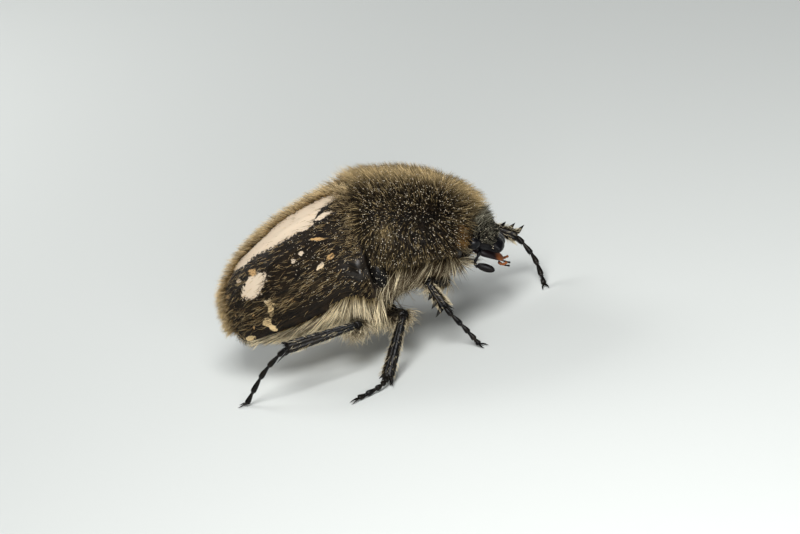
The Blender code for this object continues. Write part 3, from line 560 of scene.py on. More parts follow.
def hair_spikes(line, across, radius, shares):
    """Spikes along bent lines, as points and faces: a ring of three points at each share of the length,
    narrowing by the root of what is left of it, then one point at the tip. The root is closed."""
    facing = unit(np.cross(np.gradient(line, axis=1), across))
    aside = np.cos(HAIR_SIDES)[:, None] * across[:, :, None]
    aside = aside + np.sin(HAIR_SIDES)[:, None] * facing[:, :-1, None]
    taper = np.sqrt(1.0 - shares[:-1])
    rings = line[:, :-1, None] + (taper * radius)[:, :, None, None] * aside
    points = np.concatenate([rings.reshape(len(line), -1, 3), line[:, -1:]], axis=1)
    end = 3 * len(taper)
    first = np.arange(end - 3, end)
    after = np.roll(first, -1)
    tips = np.concatenate([np.stack([first, after, np.full(3, end)], axis=-1), [[2, 1, 0]]])
    start = np.arange(len(line))[:, None, None] * (end + 1)
    faces = [(start + grid_faces(len(taper), 3, True)).reshape(-1, 4), (start + tips).reshape(-1, 3)]
    return points.reshape(-1, 3), faces


def hairs(
    skin, inside, count, seed, lie, lift, length, radius, bend, tone, tufts, density=None,
    steps=HAIR_STEPS, shortest=0.6, wave=0.06, clump=0.35, stray=0.15, tuft_stray=0.15,
    tone_spread=0.12, tuft_tone=0.15, glints=0.0, glint=0.4,
):
    """Hairs on a skin, as (points, faces, attributes, patches). A hair leaves its root between the way
    out and its lie, and its line is root + length * (s * leaving + bend * s^2 / 2 * (lie - leaving)).
    Hairs of one tuft share a shade and a lean, and their tips draw together. A share of the hairs glints:
    these are thicker and paler."""
    chance = np.random.default_rng(seed)
    u, v = roots_on(skin, count, chance, density)
    root, out = skin(u, v), normals(skin, u, v, inside)
    row = (u * tufts).astype(int)
    column = (v * tufts + chance.random(tufts)[row]).astype(int)
    tuft = row * (tufts + 1) + column
    total = tufts * (tufts + 1)
    lean = chance.normal(0.0, stray, (count, 3))
    lean += chance.normal(0.0, tuft_stray, (total, 3))[tuft]
    lie = at(lie, u, v) + lean
    lie = unit(lie - out * np.sum(lie * out, axis=1, keepdims=True))
    lift = np.clip(at(lift, u, v) + chance.normal(0.0, 0.08, (count, 1)), 0.03, 1.0)
    leaving = unit(out * lift + lie * (1.0 - lift) + 0.3 * lean)
    length = at(length, u, v) * chance.uniform(shortest, 1.15, (count, 1))
    glinting = chance.random((count, 1)) < glints
    radius = radius * chance.uniform(0.75, 1.25, (count, 1)) * (1.0 + GLINT_SWELL * glinting)
    shares = np.append(steps, 1.0)
    s = shares[None, :, None]
    bowed = s * leaving[:, None] + 0.5 * bend * s**2 * (lie - leaving)[:, None]
    waving = wave * chance.normal(0.0, 1.0, (count, 1, 3)) * s**2
    line = length[:, None] * (bowed + waving)
    tip = root + line[:, -1]
    held = np.bincount(tuft, minlength=total)[tuft][:, None]
    shared = np.stack([np.bincount(tuft, tip[:, k], total)[tuft] for k in range(3)], axis=1) / held
    line += clump * s**2 * (shared - tip)[:, None]
    line = root[:, None] + line - out[:, None] * ROOT_DEPTH * (s == 0.0)
    line[:, :, 2] = np.maximum(line[:, :, 2], LOWEST_Z)
    points, faces = hair_spikes(line, unit(np.cross(out, lie))[:, None], radius, shares)
    share = np.append(np.repeat(shares[:-1], 3), 1.0)
    tone = at(tone, u, v) + chance.normal(0.0, tone_spread, (count, 1))
    tone = tone + chance.normal(0.0, tuft_tone, (total, 1))[tuft] + glint * glinting
    attributes = {
        "tip": np.broadcast_to(share, (count, len(share))).ravel(),
        "tone": np.broadcast_to(limited(tone), (count, len(share))).ravel(),
    }
    turned = np.append(np.tile((-0.5, 0.0, 0.5), len(steps)), 0.0)
    patches = np.stack([u[:, None] + PATCH * turned, v[:, None] + PATCH * (share - 0.5)], axis=-1)
    return points, faces, attributes, 0.01 + 0.98 * patches.reshape(-1, 2)


def coat(name, tufts, look):
    """One piece of several sets of hairs, each with its own strip of the unwrap."""
    points, faces, attributes, patches, start = [], [], [], [], 0
    for strip, (some, some_faces, some_attributes, some_patches) in enumerate(tufts):
        points.append(some)
        faces += [block + start for block in some_faces]
        attributes.append(some_attributes)
        patches.append((some_patches + (0.0, strip)) / (1.0, len(tufts)))
        start += len(some)
    quads = np.concatenate([block for block in faces if block.shape[1] == 4])
    threes = np.concatenate([block for block in faces if block.shape[1] == 3])
    points = np.concatenate(points)
    joined = {label: np.concatenate([held[label] for held in attributes]) for label in attributes[0]}
    made = piece(name, points, [quads, threes], look, joined)
    unwrap = made.data.uv_layers.new(name="OFBake")
    corner = np.empty(len(made.data.loops), np.int32)
    made.data.loops.foreach_get("vertex_index", corner)
    unwrap.uv.foreach_set("vector", np.concatenate(patches)[corner].astype(np.float32).ravel())
    return made


def hair_look(name, roots, tips, rise=(0.25, 0.9)):
    """Hair that changes from its root colour to its tip colour, each between a dark and a pale one,
    over the given part of its length. The dark roots are partly painted shade among the hairs, and the
    pale tips partly painted glow of hair lit from behind."""
    look = Look(name, Roughness=0.5, Specular_IOR_Level=0.06)
    tone = look.attribute("tone")
    tip = look.attribute("tip").step(*rise)
    # Root to tip: darker roots partly painted shade among the hairs, paler tips partly painted backlit glow.
    look.feed("Base Color", look.mix(tip, look.mix(tone, *roots), look.mix(tone, *tips)))
    return look


golden_look = hair_look(
    "golden_hair",
    ((0.006, 0.004, 0.002, 1.0), (0.42, 0.27, 0.11, 1.0)),
    ((0.018, 0.011, 0.006, 1.0), (0.93, 0.73, 0.41, 1.0)),
    (0.2, 0.9),
)


def bare_share(along, angle):
    """Hardly any hair on the cream marks and none on the shoulder knob."""
    on_mark = limited(cream_field(along, angle) * 4.0)
    return (1.0 - 0.93 * on_mark) * (1.0 - 0.98 * limited(1.6 * callus_field(along, angle)))


def disc_density(along, angle):
    """Sparse hair, thicker low on the side and at the base, and thinned out along the edge."""
    side = 0.7 * near(angle, 0.8, 0.12) + near(along, 0.0, 0.08)
    return bare_share(along, angle) * (0.5 + side) * (1.0 - 0.8 * near(angle, 1.0, 0.06))


def disc_tone(along, angle):
    """Near black hair, golden on the marks and browner low on the side behind the shoulder."""
    mark = limited(cream_field(along, angle) + 0.4)
    return -0.04 + 0.3 * mark + 0.12 * near(angle, 0.84, 0.1) * near(along, 0.34, 0.2)


def fringe_density(along, angle):
    """Dense hair along the seam and round the rear, and some more over the base."""
    rear = 0.2 * near(along, 1.0, 0.25) + 2.5 * near(along, 1.0, 0.09)
    return bare_share(along, angle) * (1.1 * near(angle, 0.0, 0.05) + rear + 0.9 * near(along, 0.0, 0.05))


def fringe_tone(along, angle):
    """Golden hair at the seam and the rear, near black at the base."""
    return 0.62 * near(angle, 0.0, 0.08) + 0.8 * near(along, 1.0, 0.18)


def fringe_lift(along, angle):
    """Hair that stands off the seam and the rear, and a little off the base."""
    return 0.22 + 0.55 * near(angle, 0.0, 0.08) + 0.45 * near(along, 1.0, 0.28) + 0.2 * near(along, 0.0, 0.07)


def fringe_length(along, angle):
    """Hair lengths in millimetres: longest where the seam meets the pronotum, and round the tip."""
    seam = near(angle, 0.0, 0.1)
    rear = 0.3 * near(along, 1.0, 0.2)
    return 0.3 + 0.34 * seam * (1.0 - near(along, 1.0, 0.2)) + rear + 0.35 * seam * near(along, 0.0, 0.12)


def disc_length(along, angle):
    """Hair lengths in millimetres, longer low on the side."""
    return 0.42 + 0.2 * near(angle, 0.84, 0.2)


disc_style = dict(
    lie=(-1.0, 0.0, -0.25), lift=0.18, length=disc_length, shortest=0.4, radius=0.0065, bend=0.6,
    wave=0.16, tone=disc_tone, tone_spread=0.06, tuft_tone=0.06, glints=0.2, glint=0.65,
    density=disc_density, tufts=44,
)
fringe_style = dict(
    lie=(-1.0, 0.0, -0.25), lift=fringe_lift, length=fringe_length, shortest=0.2, radius=0.008, bend=0.5,
    wave=0.1, stray=0.3, tone=fringe_tone, tone_spread=0.28, tuft_tone=0.12, glints=0.2, glint=0.3,
    density=fringe_density, tufts=50, clump=0.2,
)
for seed, (side_name, side) in enumerate(SIDES.items()):

    def wing_hair_skin(u, v, side=side):
        return elytron_skin(0.005 + 0.99 * u, 0.995 * v) * (1.0, side, 1.0)

    inside = WING_MIDDLE * (1.0, side, 1.0)
    tufts = [
        hairs(wing_hair_skin, inside, DISC_HAIRS, 23 + seed, **disc_style),
        hairs(wing_hair_skin, inside, FRINGE_HAIRS, 27 + seed, **fringe_style),
    ]
    wing_coat = coat("wing_coat_" + side_name, tufts, golden_look)
    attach(wing_coat, "root")

# Pronotum
# The domed shield over the fore body: black, coarsely pitted all over, with a thin rim. It is one grid of
# squared-off arcs, closed below by a hollowed floor that the head reaches into.
PRONOTUM_BASE_X = 6.84
PRONOTUM_LENGTH = 4.24
PRONOTUM_CORNER_X = 6.92
PRONOTUM_EDGE_LENGTH = 3.63
PRONOTUM_HALF_WIDTH = 2.8
PRONOTUM_NARROWING = 0.42
PRONOTUM_CREST_X = 6.6
PRONOTUM_CREST_REACH = 4.6
PRONOTUM_CREST_POWER = 1.8
PRONOTUM_TAPER_POWER = 3
PRONOTUM_BROW_Z = 4.2
PRONOTUM_RISE = 2.75
PRONOTUM_EDGE_Z = 4.4
PRONOTUM_EDGE_FALL = 0.65
PRONOTUM_HOLLOW = 0.3
PRONOTUM_SQUARENESS = 2.3
PRONOTUM_MIDDLE = (9.0, 0.0, 4.0)
BASE_HOLLOW = 0.15
NECK_HOLLOW = 0.7


def pronotum_skin(along, angle):
    """Pronotum: along is 0 at the base and 1 in front, the angle is 0 on top and 90 degrees at the left.
    Each cross-section is a squared-off arc between the height of the crest and that of the edge."""
    top_x = PRONOTUM_BASE_X + PRONOTUM_LENGTH * along
    edge_x = PRONOTUM_CORNER_X + PRONOTUM_EDGE_LENGTH * along
    ahead = limited((top_x - PRONOTUM_CREST_X) / PRONOTUM_CREST_REACH)
    top_z = PRONOTUM_BROW_Z + PRONOTUM_RISE * np.sqrt(1.0 - ahead**PRONOTUM_CREST_POWER)
    edge_z = PRONOTUM_EDGE_Z - PRONOTUM_EDGE_FALL * along
    half_width = PRONOTUM_HALF_WIDTH * (1.0 - PRONOTUM_NARROWING * along**PRONOTUM_TAPER_POWER)
    y, z = arc(angle, half_width, top_z - edge_z, PRONOTUM_SQUARENESS)
    share = (np.abs(angle) / (math.pi / 2)) ** 2
    return np.stack([top_x + (edge_x - top_x) * share, y, edge_z + z], axis=-1)


def loft(rings, hollows=(0.0, 0.0)):
    """Body over a row of like rings. Each end is a fan about its middle, set in along X by its hollow."""
    rows, columns = rings.shape[:2]
    ends = rings[[0, -1]].mean(axis=1)
    ends[:, 0] += np.array(hollows)
    turn = np.arange(columns)
    after = (turn + 1) % columns
    last = (rows - 1) * columns
    first_fan = np.stack([after, turn, np.full(columns, rows * columns)], axis=-1)
    last_fan = np.stack([last + turn, last + after, np.full(columns, rows * columns + 1)], axis=-1)
    points = np.concatenate([rings.reshape(-1, 3), ends])
    return outward(points, [grid_faces(rows, columns, True), first_fan, last_fan])


def cuticle_look(name, dark, light, pit, depth, roughness=0.28):
    """Black horny plate, browner in patches, with pits of the given width and depth."""
    look = Look(name, Specular_IOR_Level=0.1)
    cloud = look.noise(0.5)
    look.feed("Base Color", look.mix(cloud.step(0.35, 0.75), dark, light))
    look.feed("Roughness", look.noise(0.2) * 0.25 + (roughness - 0.08))
    look.bump(look.pits(pit).step(0.05, 0.5) + look.noise(pit * 3.0) * 0.5, depth)
    return look


shield_look = cuticle_look(
    "pronotum_shell", (0.007, 0.006, 0.005, 1.0), (0.022, 0.014, 0.008, 1.0), 0.09, 0.03
)
along, across = grid(90, 161)
arch = pronotum_skin(along, (across - 0.5) * math.pi)
share, beneath = grid(90, 41)
left_edge = arch[:, -1:, :]
floor_y = left_edge[..., 1] * (0.985 - 1.97 * beneath)
floor_z = left_edge[..., 2] - 0.03 + PRONOTUM_HOLLOW * (1.0 - (2.0 * beneath - 1.0) ** 2)
hollow_floor = np.stack([np.broadcast_to(left_edge[..., 0], floor_y.shape), floor_y, floor_z], axis=-1)
shield_body = loft(np.concatenate([arch, hollow_floor], axis=1), (BASE_HOLLOW, -NECK_HOLLOW))
shield = piece("pronotum_shield", *shield_body, shield_look)
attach(shield, "root")
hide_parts("pronotum")

# Mane
# Dense hair over the whole pronotum, near black on the sides and golden along the crest and in front. The
# crest's gold is partly painted glow of hair seen against the light, and its extra width on the left half
# is painted glow. It is in two halves, each rooted on its half of the shield and curved towards the way
# that it lies.
MANE_HAIRS = 12500
# Widths of the golden crest on each half: the left half's is wider by painted glow of its hair against the
# light.
MANE_CREST_AND_GLOW_WIDTHS = {"left": 0.26, "right": 0.13}
mane_look = hair_look(
    "mane_hair",
    ((0.005, 0.004, 0.003, 1.0), (0.07, 0.04, 0.016, 1.0)),
    ((0.018, 0.013, 0.008, 1.0), (0.8, 0.6, 0.3, 1.0)),
)


def mane_skins(side):
    """Half of the pronotum, from the middle line to the edge of that side."""

    def skin(u, v):
        return pronotum_skin(0.005 + 0.99 * u, side * (-0.02 + 1.02 * v) * math.pi / 2)

    return skin


def mane_tone(u, v, crest):
    """Golden on the crest, as wide as given, at the front and at the lower edge, silvery in one patch
    low on the side towards the base, and near black in the rest. The crest's gold is partly painted glow
    of hair seen against the light."""
    front = 0.45 * near(u, 1.0, 0.13) * limited(1.0 - 1.3 * v)
    rims = 0.6 * near(v, 0.0, crest) + front + 0.14 * near(v, 1.0, 0.12)
    return -0.06 + rims + 0.05 * near(u, 0.0, 0.08) + 0.55 * near(u, 0.24, 0.09) * near(v, 0.67, 0.12)


def mane_density(u, v):
    """Thinner hair in a dark patch low on the side towards the front, thicker along the base."""
    return 1.0 - 0.6 * near(u, 0.7, 0.16) * near(v, 0.76, 0.15) + 0.6 * near(u, 0.0, 0.06)


def mane_lie(u, v):
    """Back on top and over the base, down on the side, and forwards at the front edge."""
    ahead = near(u, 1.0, 0.2)
    down = limited((v - 0.4) / 0.3) * (1.0 - 0.8 * near(u, 0.0, 0.12) * (1.0 - near(v, 1.0, 0.25)))
    return np.stack([1.5 * ahead - 0.6 + 0.3 * down, 0.0 * u, -0.15 - 0.5 * ahead * v - 0.9 * down], axis=-1)


def mane_lift(u, v):
    """Hair that stands up on the crest, and leans on the side, over the base and at the front."""
    side = limited((v - 0.35) / 0.35)
    return 0.92 - 0.35 * side - 0.2 * near(u, 1.0, 0.1) - 0.1 * near(v, 1.0, 0.1) - 0.35 * near(u, 0.0, 0.1)


def mane_length(u, v):
    """Hair lengths in millimetres: longest on the crest, long round the front and the base."""
    base = 0.25 * near(u, 0.0, 0.1) * (1.0 - 1.8 * near(v, 1.0, 0.25))
    return 0.6 - 0.15 * v + 0.25 * near(u, 1.0, 0.12) + 0.35 * near(v, 0.0, 0.3) + base


mane_style = dict(
    lie=mane_lie, lift=mane_lift, length=mane_length, shortest=0.3, radius=0.0085, bend=0.4, wave=0.03,
    stray=0.07, tuft_stray=0.05, tone_spread=0.09, tuft_tone=0.06, glints=0.1, glint=0.7,
    density=mane_density, tufts=44, clump=0.25,
)
for seed, (side_name, side) in enumerate(SIDES.items()):

    def crest_and_glow_tone(u, v, crest=MANE_CREST_AND_GLOW_WIDTHS[side_name]):
        return mane_tone(u, v, crest)

    tufts = [hairs(mane_skins(side), PRONOTUM_MIDDLE, MANE_HAIRS, 11 + seed, tone=crest_and_glow_tone, **mane_style)]
    mane = coat("mane_" + side_name, tufts, mane_look)
    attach(mane, "root")

# Scutellum
# The small black three-cornered plate between the wing cases, a little lower than their rims, made as a
# grid that narrows to its tip and follows the height of the seam.
SCUTELLUM_BASE_X = PRONOTUM_BASE_X + 0.1
SCUTELLUM_WALL = 0.15
along, across = grid(24, 25)
plate_x = SCUTELLUM_BASE_X + (SCUTELLUM_TIP_X - SCUTELLUM_BASE_X) * along
plate_y = (2.0 * across - 1.0) * (SCUTELLUM_HALF_WIDTH * (1.0 - along) ** 0.9 + 0.01)
plate_z = suture_height(plate_x) + 0.02 - 0.05 * (2.0 * across - 1.0) ** 2
plate = np.stack([plate_x, plate_y, plate_z], axis=-1)
scutellum = piece("scutellum_plate", *wall(plate, plate - (0.0, 0.0, SCUTELLUM_WALL)), shield_look)
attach(scutellum, "root")
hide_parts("scutellum")

# Underside
# Thorax, abdomen with its overlapping ring plates, fore breast and the plate that closes the rear: black
# shells under long straw-coloured hair. Each is a loft of rings below the wing cases, and a bare rounded
# plate shows on each side between the wing case and the pronotum.
BELLY_Z = 1.72
THORAX_FRONT_X = 6.95
THORAX_REAR_X = 4.35
THORAX_HALF_WIDTH = 2.42
ABDOMEN_FRONT_X = 4.5
ABDOMEN_REAR_X = 0.75
ABDOMEN_REAR_RISE = 0.4
ABDOMEN_INSET = 0.55
TRUNK_INSET = 0.2
TRUNK_DROP = 0.6
TRUNK_SQUARENESS = 2.3
STERNITES = 5
STERNITE_STEP = 0.05
PROSTERNUM_REAR_X = 6.9
PROSTERNUM_FRONT_X = 10.2
PROSTERNUM_Z = 2.5
PROSTERNUM_HALF_WIDTH = 2.35
PROSTERNUM_NARROWING = 0.95
PROSTERNUM_FLANK = 0.25
PROSTERNUM_RISE = 0.3
PYGIDIUM_CENTRE = np.array([0.4, 0.0, 2.02])
PYGIDIUM_RADII = np.array([0.36, 1.2, 0.69])
SIDE_PLATE_CENTRE = np.array([7.03, 2.66, 3.86])
SIDE_PLATE_RADII = np.array([0.33, 0.26, 0.64])


def round_body(rows, columns):
    """Shares along a body, and turns about it from -180 degrees to just short of 180."""
    share, turn = grid(rows, columns + 1)
    return share[:, :-1], (turn[:, :-1] * 2.0 - 1.0) * math.pi


def trunk_point(x, turn, half_width, middle_z, top_z, bottom_z):
    """Point of the trunk: the turn is 0 on top, 90 degrees at the left side and 180 below."""
    y, rise = arc(turn, half_width, 1.0, TRUNK_SQUARENESS)
    height = np.where(np.cos(turn) >= 0.0, top_z - middle_z, bottom_z - middle_z)
    return np.stack(np.broadcast_arrays(x, y, middle_z + height * rise), axis=-1)


def covered_point(x, turn, half_width, bottom_z):
    """Point of the trunk under the wing cases: it follows the heights of their seam and side edges."""
    middle_z = elytron_edge_height(x) - TRUNK_INSET
    return trunk_point(x, turn, half_width, middle_z, suture_height(x) - TRUNK_DROP, bottom_z)


def thorax_point(x, turn):
    """Thorax: it hangs to the belly's height."""
    return covered_point(x, turn, THORAX_HALF_WIDTH, BELLY_Z)


def abdomen_point(x, turn, groove=0.0):
    """Abdomen: as wide as the wing cases less its inset, rising towards the rear. A groove makes it
    smaller all round."""
    back = (ABDOMEN_FRONT_X - x) / (ABDOMEN_FRONT_X - ABDOMEN_REAR_X)
    bottom_z = BELLY_Z + ABDOMEN_REAR_RISE * back**3 + groove
    return covered_point(x, turn, elytron_width(x) - ABDOMEN_INSET - groove, bottom_z)


def prosternum_point(x, turn):
    """Fore breast: it fills the pronotum's edge and narrows to the neck."""
    along = (x - PROSTERNUM_REAR_X) / (PROSTERNUM_FRONT_X - PROSTERNUM_REAR_X)
    half_width = PROSTERNUM_HALF_WIDTH - PROSTERNUM_NARROWING * along**2
    top_z = PRONOTUM_EDGE_Z - PRONOTUM_EDGE_FALL * along + 0.05
    bottom_z = PROSTERNUM_Z + PROSTERNUM_RISE * along
    return trunk_point(x, turn, half_width, top_z - PROSTERNUM_FLANK, top_z, bottom_z)


belly_look = cuticle_look("belly_shell", (0.008, 0.007, 0.006, 1.0), (0.03, 0.02, 0.012, 1.0), 0.12, 0.02)
share, turn = round_body(60, 72)
thorax_x = THORAX_REAR_X + (THORAX_FRONT_X - THORAX_REAR_X) * share
abdomen_x = ABDOMEN_FRONT_X + (ABDOMEN_REAR_X - ABDOMEN_FRONT_X) * share
prosternum_x = PROSTERNUM_REAR_X + (PROSTERNUM_FRONT_X - PROSTERNUM_REAR_X) * share
sternite = (share * STERNITES) % 1.0
trunk = {
    "thorax": thorax_point(thorax_x, turn),
    "abdomen": abdomen_point(abdomen_x, turn, STERNITE_STEP * sternite**3),
    "prosternum": prosternum_point(prosternum_x, turn),
}
for node, rings in trunk.items():
    shell = piece(node + "_shell", *loft(rings), belly_look)
    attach(shell, "root")
    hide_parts(node)


def ball_point(polar, spin):
    """Point of a ball of radius 1, by its angle from the pole ahead and its turn about X from the left."""
    return np.stack([np.cos(polar), np.sin(polar) * np.cos(spin), np.sin(polar) * np.sin(spin)], axis=-1)


# Rings round a ball of radius 1, open by a small cap at both poles, which loft closes.
along, turn = grid(30, 41)
ball = ball_point(along[:, :-1] * (math.pi - 0.2) + 0.1, turn[:, :-1] * 2.0 * math.pi)
pygidium = piece("pygidium_plate", *loft(PYGIDIUM_CENTRE + PYGIDIUM_RADII * ball), belly_look)
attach(pygidium, "root")
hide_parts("pygidium")

side_plate_look = cuticle_look(
    "side_plate", (0.002, 0.002, 0.002, 1.0), (0.006, 0.005, 0.004, 1.0), 0.16, 0.03, 0.22
)
for side_name, side in SIDES.items():
    plate = piece(
        "side_plate_" + side_name,
        *loft((SIDE_PLATE_CENTRE + SIDE_PLATE_RADII * ball) * (1.0, side, 1.0)),
        side_plate_look,
    )
    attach(plate, "root")

# Coat of the underside
# Long straw-coloured hair: hanging in a dense fringe from the thorax, swept back along the abdomen, and
# tawny under the fore breast, where it leans back towards the legs.
straw_look = hair_look(
    "straw_hair",
    ((0.012, 0.008, 0.004, 1.0), (0.4, 0.29, 0.13, 1.0)),
    ((0.06, 0.038, 0.018, 1.0), (1.0, 0.86, 0.58, 1.0)),
    (0.02, 0.4),
)


def thorax_hair_skin(u, v):
    """Sides and underside of the thorax, from the left round to the right."""
    return thorax_point(4.6 + 2.25 * u, np.radians(95.0 + 170.0 * v))


def abdomen_hair_skin(u, v):
    """Sides and underside of the abdomen, the same way round."""
    return abdomen_point(1.1 + 3.4 * u, np.radians(100.0 + 160.0 * v))


def breast_hair_skin(u, v):
    """Sides and underside of the fore breast, the same way round."""
    return prosternum_point(6.95 + 3.2 * u, np.radians(95.0 + 170.0 * v))


def pygidium_hair_skin(u, v):
    """Rear half of the plate that closes the rear."""
    return PYGIDIUM_CENTRE + PYGIDIUM_RADII * ball_point((0.5 + 0.48 * u) * math.pi, 2.0 * math.pi * v)


def sidewards(v, ahead, upward):
    """A lie from its parts ahead and upward, that also leans outwards on both flanks."""
    return np.stack(np.broadcast_arrays(ahead, np.where(v < 0.5, 0.3, -0.3), upward), axis=-1)


def thorax_lie(u, v):
    """Straight down in front, swept back towards the abdomen behind."""
    swept = near(u, 0.0, 0.35)
    return sidewards(v, -0.15 - 0.8 * swept, -1.0 + 0.35 * swept)


def breast_lie(u, v):
    """Back and down, straight down behind, and a little forwards round the neck."""
    down = near(u, 0.0, 0.35)
    return sidewards(v, -0.95 + 0.65 * down + 1.3 * near(u, 1.0, 0.12), -0.8 - 0.4 * down)


def flank(v):
    """0 under the middle and 1 high on either side."""
    return np.abs(2.0 * v - 1.0)


def breast_length(u, v):
    """Hair lengths in millimetres, longer behind and a little longer round the neck."""
    return 1.25 + 0.75 * near(u, 0.0, 0.35) + 0.1 * near(u, 1.0, 0.2)


def breast_density(u, v):
    """Denser on the flanks and round the neck, hardly any high on the flank by the bare side plate."""
    beside_plate = 1.0 - 0.9 * near(u, 0.0, 0.14) * near(flank(v), 1.0, 0.45)
    return (0.6 + flank(v) + 0.7 * near(u, 1.0, 0.15)) * beside_plate


thorax_style = dict(
    lie=thorax_lie, lift=0.3, length=lambda u, v: 1.55 + 0.3 * near(u, 1.0, 0.3), radius=0.014, bend=0.7,
    wave=0.03, stray=0.1, tuft_stray=0.08, tone=lambda u, v: 0.48 - 0.45 * near(u, 1.0, 0.2),
    tone_spread=0.3, tuft_tone=0.12, glints=0.45, glint=0.75,
    density=lambda u, v: 0.5 + flank(v) + near(u, 1.0, 0.15), tufts=26, steps=LONG_HAIR_STEPS,
)
abdomen_style = dict(
    lie=lambda u, v: sidewards(v, -1.0, -0.6), lift=0.3, length=lambda u, v: 0.85 + 0.7 * u,
    radius=0.013, bend=0.7, wave=0.03, stray=0.1, tuft_stray=0.08, tone=0.16, tone_spread=0.24,
    tuft_tone=0.12, glints=0.45, glint=0.7, density=lambda u, v: 0.3 + 1.5 * flank(v) ** 2, tufts=26,
    steps=LONG_HAIR_STEPS,
)
breast_style = dict(
    lie=breast_lie, lift=0.35, length=breast_length, radius=0.012, bend=0.7, wave=0.05, stray=0.12,
    tuft_stray=0.1, tone=0.02, tone_spread=0.1, tuft_tone=0.1, glints=0.3, glint=0.6,
    density=breast_density, tufts=24, clump=0.4, steps=LONG_HAIR_STEPS,
)
pygidium_style = dict(
    lie=(-0.4, 0.0, -1.0), lift=lambda u, v: 0.4 + 0.3 * near(v, 0.25, 0.2),
    length=lambda u, v: 0.5 + 0.25 * near(v, 0.25, 0.2), radius=0.01, bend=0.6, wave=0.08, tone=0.2,
    glints=0.4, glint=0.5, density=lambda u, v: 1.0 + 2.0 * near(v, 0.25, 0.15), tufts=12,
)
# The skin that each coat stands on, a point inside it, the number of hairs, and their style.
under_coats = {
    "thorax": (thorax_hair_skin, (5.7, 0.0, 4.0), 4200, thorax_style),
    "abdomen": (abdomen_hair_skin, (2.7, 0.0, 4.0), 5000, abdomen_style),
    "prosternum": (breast_hair_skin, (8.7, 0.0, 4.2), 4800, breast_style),
    "pygidium": (pygidium_hair_skin, PYGIDIUM_CENTRE, 1200, pygidium_style),
}
for seed, (node, (skin, inside, count, style)) in enumerate(under_coats.items()):
    under_coat = coat(node + "_coat", [hairs(skin, inside, count, 41 + seed, **style)], straw_look)
    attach(under_coat, "root")

# Head
# A black box of horn that slopes down to a shovel-like clypeus with a notched, turned-up rim. It is a
# loft of squared-off rings along its own slope, and reaches back into the hollow of the pronotum.
NECK = np.array([10.88, 3.78])
CLYPEUS = np.array([12.0, 2.62])
HEAD_HALF_WIDTH = 1.0
HEAD_SQUARENESS = 2.5
CLYPEUS_HALF_WIDTH = 0.66
HEAD_HALF_DEPTH = 0.6
CLYPEUS_HALF_DEPTH = 0.2
CLYPEUS_NOTCH = 0.12
CLYPEUS_ROUNDING = 0.12
HEAD_BACK = -0.45
HEAD_MIDDLE = (11.3, 0.0, 3.2)
RIM_LIFT = 0.06


def head_point(share, turn):
    """Point of the head: share is 0 at the neck and 1 at the clypeus's edge, the turn is 0 in front. The
    half width eases from the cheeks to the clypeus, the depth falls by a power of the share, and both
    close at the rounded edge."""
    ahead = (CLYPEUS - NECK) / np.linalg.norm(CLYPEUS - NECK)
    held = limited(share)
    cheek = HEAD_HALF_WIDTH * (1.0 - 0.14 * (1.0 - np.clip(share / 0.2, -1.0, 1.0)))
    snout = limited((held - 0.3) / 0.4)
    half_width = cheek + (CLYPEUS_HALF_WIDTH - cheek) * snout * snout * (3.0 - 2.0 * snout)
    half_depth = HEAD_HALF_DEPTH + (CLYPEUS_HALF_DEPTH - HEAD_HALF_DEPTH) * held**1.6
    end = limited((share - 1.0) / CLYPEUS_ROUNDING + 1.0)
    close = np.sqrt(1.0 - 0.98 * end * end)
    y, rise = arc(turn, half_width * (0.25 + 0.75 * close), half_depth * close, HEAD_SQUARENESS)
    rise = rise * np.sign(np.cos(turn))
    front = limited(np.cos(turn))
    rise = rise + RIM_LIFT * held**12 * front
    notch = CLYPEUS_NOTCH * held**6 * near(y, 0.0, CLYPEUS_NOTCH)
    x = NECK[0] + (CLYPEUS[0] - NECK[0]) * share - ahead[1] * rise - ahead[0] * notch
    z = NECK[1] + (CLYPEUS[1] - NECK[1]) * share + ahead[0] * rise - ahead[1] * notch
    return np.stack([x, y, z], axis=-1)


head_look = cuticle_look(
    "head_shell", (0.003, 0.003, 0.004, 1.0), (0.008, 0.007, 0.007, 1.0), 0.07, 0.006, 0.18
)
share, turn = round_body(110, 96)
head_rings = head_point(HEAD_BACK + (1.0 - HEAD_BACK) * np.sin(share * math.pi / 2), turn)
head = piece("head_shell", *loft(head_rings), head_look)
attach(head, "root")
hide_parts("head")

# Coat of the head
# Short dark hair on the brow, paler in the middle and standing forwards, with an orange-brown tuft at each
# side of the neck behind the eye. The tufts are rooted on the front corners of the pronotum.
BROW_HAIRS = 3600
BROW_BACK = -0.3
BROW_FRONT = 0.66
NECK_HAIRS = 420
NECK_MIDDLE = (9.5, 0.0, 4.0)


def brow_skin(u, v):
    """Front and cheeks of the head above the clypeus."""
    return head_point(BROW_BACK + (BROW_FRONT - BROW_BACK) * u, np.radians(-85.0 + 170.0 * v))


def neck_skin(side):
    """Front lower corner of the pronotum, behind the eye."""

    def skin(u, v):
        return pronotum_skin(0.92 + 0.075 * u, side * np.radians(52.0 + 34.0 * v))

    return skin


def brow_length(u, v):
    """Hair lengths in millimetres, longest behind in the middle of the brow."""
    return 0.22 + 0.68 * near(u, 0.25, 0.35) * (1.0 - 0.5 * flank(v) ** 2)


